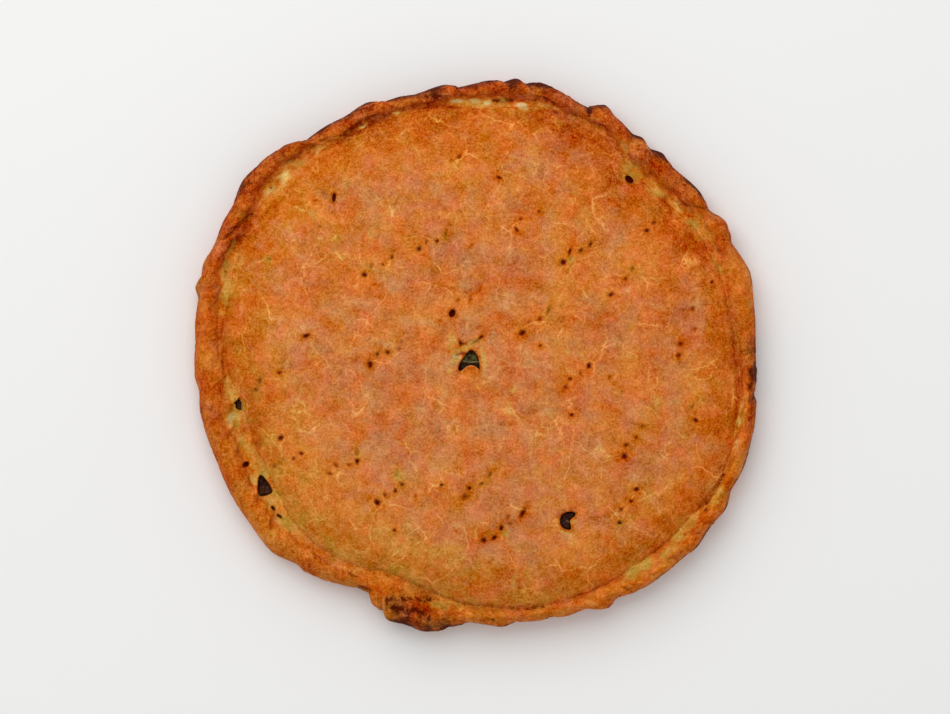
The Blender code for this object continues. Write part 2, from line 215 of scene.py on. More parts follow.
def section_steps():
    """Return the rope section's points as (stretch of the section, how far along it)."""
    steps = [("hidden", share) for share in HIDDEN_SHARES]
    steps += [("floor", index / FLOOR_POINTS) for index in range(FLOOR_POINTS)]
    steps += [("inner", index / INNER_POINTS) for index in range(INNER_POINTS)]
    steps += [("outer", index / OUTER_POINTS) for index in range(OUTER_POINTS)]
    steps += [("foot", index / FOOT_POINTS) for index in range(FOOT_POINTS + 1)]
    return steps + [("base", share) for share in BASE_SHARES]


def section_place(stretch, along, lid, foot, height, reach, groove):
    """Return the section point's radius and height, and how far out on the rope it lies."""
    crown = foot + CROWN_SHARE * (reach - foot)
    turn = along * math.pi / 2
    if stretch == "hidden":
        return lid * along, GROOVE_HEIGHT - HIDDEN_DROP + 0 * lid, 0.0
    if stretch == "floor":
        start = lid - HIDDEN_LAP
        return start + (foot - start) * along, groove, 0.0
    if stretch == "inner":
        soft_share = (1 - math.cos(2 * turn)) / 2
        rise = CROWN_FULLNESS * math.sin(turn) + (1 - CROWN_FULLNESS) * soft_share
        level = groove + (height - groove) * rise
        return foot + (crown - foot) * (1 - math.cos(turn)) ** 0.8, level, CROWN_SHARE * along
    if stretch == "outer":
        radius = crown + (reach - crown) * math.sin(turn)
        level = WIDEST_HEIGHT + (height - WIDEST_HEIGHT) * math.cos(turn)
        return radius, level, CROWN_SHARE + (1 - CROWN_SHARE) * along
    if stretch == "foot":
        radius = reach - FOOT_INSET * (1 - math.cos(turn))
        return radius, WIDEST_HEIGHT * (1 - math.sin(turn)) + 0 * lid, 1.0
    return (reach - FOOT_INSET) * along, 0 * lid, 1.0


def blank_place(stretch, along):
    """Return where a section point lies in the plain ring, before the folds are shaped."""
    radius, level, _ = section_place(stretch, along, *(np.array((value,)) for value in PLAIN_RING))
    return float(radius[0]), 0.0, float(level[0])


def nothing_selected():
    """Leave edit mode and deselect everything."""
    if bpy.context.object and bpy.context.object.mode != "OBJECT":
        bpy.ops.object.mode_set(mode="OBJECT")
    bpy.ops.object.select_all(action="DESELECT")


def facts_of(items, name, width=3):
    """Return one fact of each of a mesh's points or faces, in rows of this width."""
    facts = np.empty(len(items) * width)
    items.foreach_get(name, facts)
    return facts.reshape(-1, width)


def points_of(piece):
    """Return the places of a piece's points."""
    return facts_of(piece.data.vertices, "co")


def face_middles(piece):
    """Return the middles of a piece's faces."""
    return facts_of(piece.data.polygons, "center")


def place_points(piece, points):
    """Put a piece's points in their places."""
    piece.data.vertices.foreach_set("co", points.ravel())
    piece.data.update()


def polar(points):
    """Return the points' angles and radii, seen from the pie's middle."""
    across, along = points[:, 0] - PIE_MIDDLE[0], points[:, 1] - PIE_MIDDLE[1]
    return np.degrees(np.arctan2(along, across)) % 360, np.hypot(across, along)


def spot(angle, radius):
    """Return the place of an angle and a radius in millimetres."""
    turn = math.radians(angle)
    return PIE_MIDDLE + radius * MM * np.array((math.cos(turn), math.sin(turn)))


def face_outwards():
    """Turn all faces of the piece in edit mode outwards, and leave edit mode."""
    bpy.ops.mesh.select_all(action="SELECT")
    bpy.ops.mesh.normals_make_consistent(inside=False)
    bpy.ops.object.mode_set(mode="OBJECT")


def turned_blank():
    """Turn the section once round the pie, as a plain ring, and return the object."""
    nothing_selected()
    bpy.ops.mesh.primitive_plane_add(size=2 * MM, location=(0, 0, 0))
    blank = bpy.context.object
    bpy.ops.object.mode_set(mode="EDIT")
    bpy.ops.mesh.merge(type="CENTER")
    before = Vector(blank_place(*section_steps()[0]))
    bpy.ops.transform.translate(value=before)
    for step in section_steps()[1:]:
        here = Vector(blank_place(*step))
        bpy.ops.mesh.extrude_region_move(TRANSFORM_OT_translate={"value": here - before})
        before = here
    bpy.ops.object.mode_set(mode="OBJECT")
    turn = blank.modifiers.new("turned round the pie", "SCREW")
    turn.steps = ROPE_COLUMNS
    turn.render_steps = ROPE_COLUMNS
    turn.use_merge_vertices = True
    turn.merge_threshold = 0.01 * MM
    bpy.ops.object.modifier_apply(modifier=turn.name)
    bpy.ops.object.mode_set(mode="EDIT")
    bpy.ops.mesh.select_all(action="SELECT")
    bpy.ops.mesh.remove_doubles(threshold=0.01 * MM)
    face_outwards()
    return blank


def keep(piece, **fields):
    """Keep values for each point on the mesh, under these names."""
    for name, values in fields.items():
        field = piece.data.attributes.new(name, "FLOAT", "POINT")
        field.data.foreach_set("value", np.asarray(values, np.float32))


def kept(piece, name):
    """Return the values kept for each point."""
    return facts_of(piece.data.attributes[name].data, "value", 1)[:, 0]


def fold_the_rope(blank):
    """Fold the plain ring into the rope, and keep each point's section facts on the mesh."""
    steps = section_steps()
    places = np.array([blank_place(*step) for step in steps])
    points = points_of(blank)
    radius = np.hypot(points[:, 0], points[:, 1])
    gaps = (radius[:, None] - places[None, :, 0]) ** 2 + (points[:, 2, None] - places[None, :, 2]) ** 2
    nearest = gaps.argmin(axis=1)
    column = np.degrees(np.arctan2(points[:, 1], points[:, 0])) % 360
    facts = rope_facts(column)
    out = np.zeros(len(points))
    for index, (stretch, along) in enumerate(steps):
        mine = nearest == index
        lid = lid_edge(column[mine] - FOLD_SLANT)
        ring, level, out[mine] = section_place(stretch, along, lid, *(fact[mine] for fact in facts))
        turn = np.radians(column[mine] - FOLD_SLANT * (1 - out[mine]))
        points[mine, 0] = PIE_MIDDLE[0] + ring * np.cos(turn)
        points[mine, 1] = PIE_MIDDLE[1] + ring * np.sin(turn)
        points[mine, 2] = level
    place_points(blank, points)
    keep(blank, column=column, out=out)


def to_line(places, line):
    """Return each place's distance to a line of places, and how far along the line it lies."""
    nearest = np.full(len(places), 1.0)
    run = np.zeros(len(places))
    for index, (start, end) in enumerate(zip(line, line[1:])):
        step = end - start
        share = np.clip(((places - start) @ step) / (step @ step), 0, 1)
        gap = np.linalg.norm(places - start - share[:, None] * step, axis=1)
        closer = gap < nearest
        nearest[closer] = gap[closer]
        run[closer] = (index + share[closer]) / (len(line) - 1)
    return nearest, run


# Gaps where the rope has torn away from the groove and the filling shows, in millimetres of the
# plan, and small round holes beside them: x, y, length, width, direction.
RIM_GAPS = {
    "filling_rim_gap_left": (
        (-138, -24.2), (-139.6, -26.6), (-142, -28.4), (-140.4, -29.6), (-140.9, -31.2), (-138.9, -32.6),
        (-136.6, -33), (-135.8, -30.5), (-135.9, -27.3),
    ),
    "filling_rim_gap_lower": (
        (-127.2, -70), (-128.2, -78.5), (-127, -84), (-120.6, -82.5), (-117.8, -80.2), (-121.3, -74.5),
        (-124.4, -70.6),
    ),
}
RIM_HOLES = (
    (-134.6, -64.5, 5, 3.8, 35), (-118.4, -90.1, 4, 2.3, -50), (-114.8, -94.7, 4.4, 2.1, -35),
)
GAP_DEPTH = 8.0 * MM
HOLE_DEPTH = 4.0 * MM
WALL_WIDTH = 0.8 * MM  # how far in from its edge an opening reaches its depth
FINE_BORDER = 1.5 * MM  # width of the smaller faces round an opening
BURNT_LUMP = (255, 156, 13, 8)  # a charred, crinkled lump: angle, radius, half-lengths, mm
STREAKS = 1.25  # streaks that run down over the rope, for each degree
STREAK_BREAKS = 3.2  # how often a streak changes from the groove to the foot

# Lines pressed or torn between two folds: half-width, depth, how scorched, and the line's points as
# angle and radius in millimetres.
CREASES = (
    (0.9, 1.2, 0.5, ((32.2, 160.5), (33.5, 156.5), (35, 151.5), (37.5, 148.5), (40.4, 144.5))),
    (1.1, 1.5, 0.9, ((60, 151.6), (62.3, 153.2))),
    (1.6, 1, 0.7, ((66.2, 160.5), (65.3, 157.3), (64.7, 155))),
    (1.2, 1.4, 0.8, ((72.6, 154.2), (75, 154.8), (76.6, 155.6))),
    (0.7, 0.7, 0.5, ((76.6, 154.6), (77.4, 151))),
    (1.2, 1.6, 0.9, ((81.8, 151.3), (84, 150.3), (86.6, 149.9))),
    (0.7, 0.7, 0.5, ((79, 151.8), (81.5, 151.2))),
    (0.8, 0.9, 0.5, ((94.3, 157.5), (93, 151.2))),
    (1, 0.8, 0.7, ((96.6, 153), (98.6, 153.6), (101, 154.4))),
    (0.7, 0.7, 0.35, ((96, 151.2), (104, 150.6), (107.5, 151))),
    (1.1, 1.5, 0.85, ((110.8, 151), (113, 152.6), (116, 152.4), (119, 151.4), (121.5, 150.6))),
    (0.9, 0.9, 0.5, ((121.5, 150.8), (124, 154), (128, 156.5), (131, 157.2), (134.5, 158.8))),
    (0.8, 0.8, 0.5, ((138.6, 155.5), (139.2, 157.5), (140.2, 159))),
    (1.1, 1.5, 0.8, ((147.6, 155.8), (151, 158.5), (153.5, 161.3), (155.3, 163.8))),
    (0.9, 0.8, 0.35, ((154.5, 157.8), (158, 156.9), (161.5, 155), (167, 153.4))),
    (0.9, 0.8, 0.35, ((171, 153), (175, 152), (180, 150.4))),
    (0.8, 0.6, 0.3, ((181, 148.6), (186, 148))),
    (0.9, 0.8, 0.3, ((180, 153.4), (186, 155.5), (191, 158), (195.5, 160))),
    (0.9, 0.9, 0.45, ((200, 155.5), (202.5, 158.5), (205.5, 162))),
    (0.9, 0.8, 0.4, ((203, 159.8), (206.8, 163))),
    (0.9, 0.7, 0.35, ((211.8, 153), (213.6, 156))),
    (0.8, 0.9, 0.35, ((218.3, 153.8), (220.5, 158.5), (222.5, 162.3))),
    (0.8, 0.8, 0.3, ((222.3, 155), (224.5, 160), (225.6, 163.5))),
    (0.9, 0.8, 0.25, ((228.5, 155), (231, 160.5))),
    (0.9, 1.1, 0.6, ((228.5, 149), (234, 149), (239.5, 147.5), (242.5, 146.8))),
    (1, 1.2, 0.9, ((242.6, 152.3), (244.3, 151.4), (246.2, 150.8))),
    (1, 1.3, 0.7, ((249.8, 151.5), (250.2, 155), (250.4, 158.5))),
    (1, 1.3, 1, ((249.6, 151.2), (252, 149.2), (254.5, 147))),
    (1, 1.3, 1.1, ((254, 147.6), (256, 146.2), (259.3, 144.8))),
    (0.8, 1.1, 1.1, ((251, 156), (252.4, 154.6), (253.6, 153.6))),
    (0.7, 1.1, 1.1, ((254.6, 154.6), (256.2, 152.8), (258, 153.6))),
    (0.5, 0.8, 0.9, ((257.6, 156.8), (258.2, 152))), (0.5, 0.8, 0.8, ((259.4, 158), (259.8, 153.6))),
    (0.5, 0.8, 0.7, ((255.2, 159), (254.8, 155.4))),
    (0.8, 1.1, 0.8, ((258.5, 140.6), (261, 141.3), (264, 142.5), (266.3, 143.8), (267.2, 146))),
    (0.9, 1.1, 0.7, ((267.2, 144.6), (270, 145), (275, 146.6), (278.5, 149), (282, 150.7), (285, 151.2))),
    (0.7, 0.7, 0.3, ((285.5, 159.5), (286.2, 154), (286.8, 150.8))),
    (0.9, 0.8, 0.35, ((286.5, 150.8), (291, 150.8), (295, 152.4), (300, 153.6))),
    (0.9, 1.1, 0.6, ((303.4, 165), (302.9, 162.5), (302.2, 160.2))),
    (0.8, 0.9, 0.6, ((308, 153.3), (313, 154.3), (318, 155.4), (321, 156))),
    (0.8, 0.9, 0.5, ((315, 167.5), (314.3, 165.5), (313.4, 163.3))),
    (0.8, 0.8, 0.35, ((321.4, 165.8), (320.4, 163), (319.3, 160))),
    (0.9, 1, 0.65, ((324.6, 157), (327, 158.8), (330, 159.6), (334.2, 160.2))),
    (0.8, 0.8, 0.4, ((340, 160.4), (345, 157.8), (350, 156.4), (354, 154.8), (358, 153.4))),
    (0.7, 0.7, 0.4, ((350.2, 164.5), (350.6, 160))),
    (0.8, 0.6, 0.6, ((348.8, 163.8), (352, 162.2))),
)

# How far the rope is baked, from 0, raw dough, over 0.5, the lid's orange-brown, to 1, charred.
BASE_BAKED = 0.55  # the underside
ROPE_DUSTY = -0.45  # next to no flour
PALE_SIDE = 255  # degrees, where the pie is palest and oiliest
BASE_LEVEL = 0.2 * MM  # what lies lower is the underside
ROPE_BAKED = np.array((  # angle, how far the rope is baked, how much its outer side is darkened: scorch and painted shade
    (0, 0.62, 0.7), (12, 0.54, 0.45), (25, 0.6, 0.6), (35, 0.61, 0.85), (50, 0.64, 1), (70, 0.64, 1),
    (85, 0.63, 1.15), (97, 0.64, 1.15), (110, 0.62, 1.1), (125, 0.62, 1.05), (142, 0.62, 0.95),
    (155, 0.6, 0.7), (170, 0.55, 0.36), (190, 0.56, 0.32), (205, 0.54, 0.32), (220, 0.54, 0.32),
    (235, 0.54, 0.34), (249, 0.55, 0.6), (256, 0.64, 0.95), (265, 0.6, 0.95), (275, 0.54, 0.6),
    (290, 0.55, 0.5), (305, 0.54, 0.6), (320, 0.53, 0.8), (335, 0.53, 0.8), (345, 0.56, 0.7),
    (355, 0.62, 0.95), (360, 0.62, 0.7),
))
PALE_DOUGH = (  # angle, radius, half-lengths along and across in millimetres, how much paler, oily
    (3, 153, 9, 4.5, 0.02, 0.35), (20.5, 149.7, 7, 2.4, 0, 0.7), (30, 153.5, 11, 4.6, 0.2, 0.1),
    (36.8, 145.5, 7, 2.2, 0.42, 0.05), (44.5, 144.5, 8, 2.4, 0.24, 0.25), (50, 142.5, 9, 4.5, 0.25, 0.6),
    (55.5, 151, 9, 3, 0.28, 0.25), (73.5, 152.2, 8, 1.6, 0.42, 0.05), (79.8, 148.8, 5.5, 2.1, 0.66, 0.05),
    (84, 148.8, 4.5, 1.4, 0.3, 0.1), (89.5, 148.3, 10, 2.5, 0.47, 0.15), (94.3, 149, 5, 2, 0.75, 0.15),
    (108.3, 150.6, 2.5, 0.8, 0.45, 0), (116.2, 150.5, 3.6, 0.9, 0.5, 0), (127, 152.5, 16, 3.6, 0.22, 0.2),
    (139, 154.6, 15, 4, 0.38, 0.1), (159, 152, 12, 4, 0.22, 0.05), (187, 146.5, 7, 2, 0.2, 0.8),
    (194.3, 147, 5.5, 4.4, 0.5, 0.6), (203, 144, 13, 3.2, 0.22, 0.7), (205, 141, 12, 2, 0.04, 1),
    (204.5, 143.9, 3.6, 1.3, 0.3, 0.3), (208.5, 143, 6, 1.4, 0, 1.2), (219, 148.5, 16, 3.6, 0.16, 0.8),
    (221, 157, 3, 5, 0.15, 0.4), (256.5, 146.5, 5, 3, 0.06, 0.8), (262, 146.8, 9, 2.6, 0.24, 0.7),
    (268, 150.5, 2.5, 3.6, 0.16, 0.05), (286, 147.5, 24, 4, 0.02, 0.5), (305.5, 157, 8, 2.8, 0.16, 0.7),
    (317, 159.8, 20, 3.2, 0.24, 0.5), (330, 162, 8, 2.2, 0.24, 0.2), (341, 160.8, 6, 2.2, 0.28, 0.2),
    (347.5, 158.6, 14, 2.6, 0.34, 0.4),
)
SCORCH_AND_SHADOW = (  # angle, radius, half-lengths along and across in millimetres, how much darker
    (2, 159.5, 7, 5, 0.55), (356.5, 162, 6, 3.2, 0.85), (353.5, 160.5, 2.5, 1.8, 0.6),
    (65.3, 157.3, 1.8, 1.6, 0.9), (63, 163.8, 5, 1.8, 0.3), (140.6, 155.6, 1.2, 1, 0.8),
    (143, 167.5, 6, 3.4, 0.35), (25, 155.8, 3, 2, 0.22), (47.5, 158.5, 4, 3, 0.3),
    (77, 161.5, 9, 4, 0.28), (82.5, 160, 3.5, 4.4, 0.42), (90.5, 159, 8, 2.6, 0.22),
    (99, 156, 11, 5, 0.48), (106, 156.5, 6, 3, 0.22), (114, 159, 7, 3, 0.22), (126, 160, 9, 2.4, 0.25),
    (268, 143.5, 5, 3.4, 0.26), (249.5, 151.5, 2, 2.5, 0.3), (252.5, 154, 6, 5, 0.35),
    # The patch at 208.5 degrees is a painted shadow by the lid's edge, not scorch.
    (208.5, 142.5, 4, 2, 0.35), (262, 157.5, 7, 4, 0.35), (256, 160.5, 8, 2.5, 0.3),
    (273.3, 153.8, 1.1, 0.8, 0.9), (326, 161.8, 1.5, 1.2, 0.9), (334.3, 160.3, 1, 0.8, 0.8),
    (338, 165.3, 2.2, 1.8, 0.3), (36, 160.5, 5, 1.8, 0.3), (135, 164.5, 6, 2.6, 0.3),
)


def patch(points, angle, radius, along, across):
    """Return 1 in the middle of an oval patch laid along the rim, and 0 outside it."""
    here, far = polar(points)
    run = np.radians(turned(here, angle)) * radius / along
    width = (far / MM - radius) / across
    return np.exp(-(run ** 2 + width ** 2) ** 1.5)


def rim_patches(points, bare):
    """Return how much paler, how oily and how much more scorched each point is near the groove.

    Bare is the share of unbaked dough that shows at each point, before it's made uneven.
    """
    paler, oily, scorched = np.zeros((3, len(points)))
    places = swayed(points, 1.2 * MM, 5 * MM, 1)
    drawn_out = rim_wrinkles(*polar(points), 18)
    uneven = np.clip(0.90 + 0.7 * waves(points, 4 * MM, 4) + 0.8 * drawn_out, 0.35, 1.3)
    for angle, radius, along, across, drop, oil in PALE_DOUGH:
        strength = patch(places, angle, radius, along, across) * uneven
        paler = np.maximum(paler, drop * strength)
        oily = np.maximum(oily, oil * strength)
    for angle, radius, along, across, rise in SCORCH_AND_SHADOW:
        scorched += rise * patch(places, angle, radius, along, across)
    paler = np.maximum(paler, bare * np.clip(0.15 + 0.35 * waves(points, 8 * MM, 12), 0.03, 0.25))
    oily = np.maximum(oily, bare * np.clip(0.32 + 1.2 * waves(points, 6 * MM, 16), 0, 0.9))
    return paler, oily, scorched


def round_the_rim(table, angle):
    """Return the values that a table holds for these angles, running straight from row to row."""
    return (np.interp(angle, table[:, 0], values) for values in table[:, 1:].T)


def bare_share(angle):
    """Return how much softer dough shows in the groove at these angles, from none to all."""
    return soft_step(1.5, 6, stretch_value(BARE_DOUGH, angle, GROOVE_LEAST))


def plan(places):
    """Return places of the plan, in millimetres, as places of the part, in metres."""
    return np.array(places) * MM + CENTRED


def torn_outline(outline):
    """Return an outline of the plan with its corners rounded, as dough tears."""
    corners = plan(outline)
    rounded = []
    for index, here in enumerate(corners):
        before = corners[index - 1]
        after = corners[(index + 1) % len(corners)]
        for share in (0.0, 0.33, 0.67):
            first = (before + here) / 2 * (1 - share) + here * share
            second = here * (1 - share) + (here + after) / 2 * share
            rounded.append(first * (1 - share) + second * share)
    return np.array(rounded)


def oval(x, y, length, width, direction):
    """Return the outline of an oval hole of the plan."""
    turn = math.radians(direction)
    angle = np.linspace(0, 2 * math.pi, 18, endpoint=False)
    along, across = length / 2 * np.cos(angle), width / 2 * np.sin(angle)
    east = x + along * math.cos(turn) - across * math.sin(turn)
    north = y + along * math.sin(turn) + across * math.cos(turn)
    return plan(np.stack([east, north], axis=1))


def depth_inside(points, outline):
    """Return how far each point lies inside an outline, and less than 0 outside it."""
    places = points[:, :2]
    loop = np.vstack([outline, outline[:1]])
    gap, _ = to_line(places, loop)
    inside = np.zeros(len(places), bool)
    for (x1, y1), (x2, y2) in zip(loop, loop[1:]):
        if y1 != y2:
            crossed = (y1 > places[:, 1]) != (y2 > places[:, 1])
            inside ^= crossed & (places[:, 0] < (x2 - x1) * (places[:, 1] - y1) / (y2 - y1) + x1)
    return np.where(inside, gap, -gap)


def near_openings(places, openings, outside, inside=1.0):
    """Return which places lie between this far outside and this far inside an opening's edge."""
    near = np.zeros(len(places), bool)
    for outline, _ in openings:
        depth = depth_inside(places, outline)
        near |= (depth > -outside) & (depth < inside)
    return near


def edit_faces(piece, chosen):
    """Open a piece in edit mode with only the chosen faces selected."""
    nothing_selected()
    bpy.context.view_layer.objects.active = piece
    piece.select_set(True)
    bpy.context.tool_settings.mesh_select_mode = (False, False, True)
    bpy.ops.object.mode_set(mode="EDIT")
    bpy.ops.mesh.select_all(action="DESELECT")
    bpy.ops.object.mode_set(mode="OBJECT")
    piece.data.polygons.foreach_set("select", chosen)
    bpy.ops.object.mode_set(mode="EDIT")


def divide_faces(piece, chosen, cuts):
    """Divide the chosen faces of a piece into smaller ones."""
    edit_faces(piece, chosen)
    bpy.ops.mesh.subdivide(number_cuts=cuts)
    bpy.ops.object.mode_set(mode="OBJECT")


def creases_at(points, rough):
    """Return how deep the creases go at each point, how dark their stain and painted shade are, and how
    scorched.
    """
    sink, pressed, scorch = np.zeros((3, len(points)))
    places = swayed(points, 0.5 * MM, 4 * MM, 5)[:, :2]
    broken = waves(points, 1.5 * MM, 20)
    for width, depth, burnt, line in CREASES:
        gap, run = to_line(places, np.array([spot(*place) for place in line]))
        narrow = width * (0.35 + 0.45 * np.sin(math.pi * run)) * MM
        uneven = np.clip(0.9 + 0.8 * rough + 1.3 * broken, 0.45 if burnt > 1 else 0.1, 1.3)
        sink = np.maximum(sink, depth * MM * hill(gap, 1.4 * narrow))
        pressed = np.maximum(pressed, 0.7 * burnt ** 2 * uneven * hill(gap, 0.9 * narrow))
        scorch = np.maximum(scorch, 0.7 * burnt * uneven * hill(gap, 2.2 * narrow))
    return sink, pressed, scorch


def finish_the_rope(rope):
    """Press the creases, lumps and gaps into the rope and keep how each point is baked."""
    openings = [(torn_outline(outline), GAP_DEPTH) for outline in RIM_GAPS.values()]
    openings += [(oval(*hole), HOLE_DEPTH) for hole in RIM_HOLES]
    middles = face_middles(rope)
    close = near_openings(middles, openings, FINE_BORDER)
    divide_faces(rope, close & (middles[:, 2] > WIDEST_HEIGHT), 2)
    points = points_of(rope)
    out, column = kept(rope, "out"), kept(rope, "column")
    angle, radius = polar(points)
    top = (points[:, 2] > 1 * MM) & (radius > lid_edge(angle) - 1 * MM)
    rough = waves(points, 3.5 * MM, 14)
    sink, pressed, scorch = creases_at(points, rough)
    burnt_lump = patch(points, *BURNT_LUMP)
    crinkle = burnt_lump * (0.8 * waves(points, 2.2 * MM, 7) + 0.5 * waves(points, 1.1 * MM, 8))
    raised = 0.50 * waves(points, 9 * MM, 9) + 0.32 * waves(points, 3.5 * MM, 10) + 0.8 * crinkle
    wrinkle = soft_step(0.86, 0.97, 1 - np.abs(waves(points, 3.2 * MM, 15)))
    pressed = np.maximum(pressed, 0.3 * wrinkle * burnt_lump * soft_step(-0.2, 0.3, rough))
    streaks = waves(np.stack([column * STREAKS, out * STREAK_BREAKS, 0 * out], axis=1), 1, 11)
    streaks *= soft_step(0.0, 0.12, out)
    inner = soft_step(0.55, 0.15, out)
    wrinkles = rim_wrinkles(angle, radius, 17) * inner
    raised += 0.40 * streaks * (1 - 0.5 * inner) + 0.35 * wrinkles
    raised = np.where(out > 0.85, np.minimum(raised, 0), raised)
    shift = np.where(top, raised * MM - sink, 0)
    shift *= soft_step(0.5 * MM, 4 * MM, points[:, 2])
    points += shift[:, None] * facts_of(rope.data.vertices, "normal")
    inside_any = np.full(len(points), -1.0)
    for outline, depth in openings:
        inside = depth_inside(points, outline)
        points[:, 2] -= np.where(points[:, 2] > WIDEST_HEIGHT, depth * soft_step(0, WALL_WIDTH, inside), 0)
        inside_any = np.maximum(inside_any, inside)
    place_points(rope, points)
    bare = bare_share(angle) * soft_step(0.16, 0.02, out + 0.08 * rough)
    paler, oily, patches = rim_patches(points, bare)
    own, edge = round_the_rim(ROPE_BAKED, angle)
    # The outer side darkens towards its edge: scorch on the crowns, and painted shade where the rope turns
    # away, fading lower down.
    below = soft_step(WIDEST_HEIGHT + 2 * MM, 3 * MM, points[:, 2])
    thin, wide = soft_step(0.70, 0.97, out + 0.06 * rough), soft_step(0.2, 0.85, out + 0.1 * rough)
    edge = 0.85 * edge * thin + 0.65 * np.maximum(0, edge - 0.5) * wide
    edge *= (1 - 0.8 * below) * (1 + 1.0 * waves(points, 9 * MM, 13) + 0.5 * waves(points, 3 * MM, 23))
    scorched = edge + scorch + patches + 0.20 * burnt_lump + 0.25 * np.maximum(crinkle, 0)
    own += 0.08 * streaks * (1 - 0.5 * inner) + 0.12 * wrinkles
    underside = points[:, 2] < BASE_LEVEL
    least_oily = 0.10 + 0.20 * hill(turned(angle, PALE_SIDE), 55) * (1 - burnt_lump)
    # Painted shade fills the rope's gaps and holes; creases and pits get their own dark and painted shade.
    keep(
        rope,
        baked=np.where(underside, BASE_BAKED, own - paler),
        oily=np.maximum(oily, least_oily),
        dusty=ROPE_DUSTY + 0 * own,
        scorched=np.where(underside, 0.0, scorched),
        pressed=np.maximum(pressed, soft_step(-0.3 * MM, 1.2 * MM, inside_any)),
    )


def tone(colour):
    """Return a colour seen on a screen, 0 to 255, as the light it stands for."""
    return (*(((value / 255 + 0.055) / 1.055) ** 2.4 for value in colour), 1.0)


def added(tree, kind, feeds, **settings):
    """Add a node, set it up, and feed its sockets with values or with other nodes' results."""
    node = tree.nodes.new("ShaderNode" + kind)
    for name, value in settings.items():
        setattr(node, name, value)
    for socket, value in feeds.items():
        if isinstance(value, bpy.types.NodeSocket):
            tree.links.new(value, node.inputs[socket])
        else:
            node.inputs[socket].default_value = value
    return node


def worked(tree, kind, operation, *values):
    """Return what a Math or VectorMath node makes of some values or results."""
    return added(tree, kind, dict(enumerate(values)), operation=operation).outputs[0]


def sum_of(tree, *terms):
    """Return the sum of several results, each with its weight."""
    total = 0.0
    for result, weight in terms:
        total = worked(tree, "Math", "MULTIPLY_ADD", result, weight, total)
    return total


def grain(tree, place, length, detail=2.0, roughness=0.5):
    """Return noise centred on 0 with grains of this length."""
    feeds = {"Vector": place, "Scale": 1 / length, "Detail": detail, "Roughness": roughness}
    return worked(tree, "Math", "SUBTRACT", added(tree, "TexNoise", feeds).outputs["Fac"], 0.5)


def eased(tree, value, low, high, to_low=0.0, to_high=1.0):
    """Return the value eased from one range to another."""
    feeds = {"Value": value, "From Min": low, "From Max": high, "To Min": to_low, "To Max": to_high}
    return added(tree, "MapRange", feeds, interpolation_type="SMOOTHSTEP").outputs["Result"]


def blended(tree, share, first, second):
    """Return the first colour with a share of the second laid over it."""
    feeds = {0: share, 6: first, 7: second}
    return added(tree, "Mix", feeds, data_type="RGBA").outputs[2]


def kept_value(tree, name):
    """Return a value kept on the mesh."""
    return added(tree, "Attribute", {}, attribute_name=name).outputs["Fac"]


def with_shares(tree, value, shares, rest):
    """Return the rest, a colour or a place, with its share of a value added to each of its parts."""
    return worked(tree, "VectorMath", "MULTIPLY_ADD", value, shares, rest)


def new_material(name):
    """Return a new material, its nodes, its shader, and the place on the piece."""
    material = bpy.data.materials.new(name)
    material.use_nodes = True
    tree = material.node_tree
    place = added(tree, "TexCoord", {}).outputs["Object"]
    return material, tree, tree.nodes["Principled BSDF"], place


def finish_material(tree, shader, colour, relief, depth, strength):
    """Feed a shader its colour, and its relief of this depth."""
    bump = added(tree, "Bump", {"Height": relief, "Distance": depth, "Strength": strength})
    tree.links.new(colour, shader.inputs["Base Color"])
    tree.links.new(bump.outputs["Normal"], shader.inputs["Normal"])


BAKED_TONES = (  # how far baked, and the colour it has then
    (0, (236, 216, 158)), (0.12, (228, 190, 120)), (0.28, (218, 155, 72)), (0.42, (212, 121, 36)),
    (0.52, (201, 101, 18)), (0.64, (178, 74, 8)), (0.76, (146, 48, 2)), (0.88, (100, 25, 0)),
    (1, (44, 8, 0)),
)
OLIVE_TINT = (186, 140, 54)
PINK_TINT = (201, 125, 84)
FLOUR_TINT = (236, 176, 128)
SPECKLE = (1.08, 0.58, 0.25)  # light added or taken, which makes sandy specks
HUE_DRIFT = (-0.30, 0.80, 0.50)  # shares of the colour added or taken, from ruddy to olive
SHADE = (1.0, 1.15, 1.4)  # shares of the colour taken by dark grains
STRAY = 14 * MM  # how far the larger patterns wander
CRACKLE = (  # wide and fine: cell, width of a line, and the patches that crackle
    (24 * MM, 0.030, "place", 16 * MM, -0.08, 0.17), (9 * MM, 0.05, "strayed", 11 * MM, -0.06, 0.20),
)
RELIEF = 1 * MM
RELIEF_STRENGTH = 0.7
SHEEN = 0.04  # baked dough hardly mirrors anything
SHEEN_TINT = (1, 0.5, 0.2, 1)
# Scorch, and the painted shade at the rope's outer edge and by the lid's edge.
SCORCH_AND_SHADE_TONE = (66, 12, 0)
# The dark of pits, cuts, creases and openings: partly their own dark red-brown, partly painted shade.
PIT_AND_SHADE_TONE = (108, 20, 0)


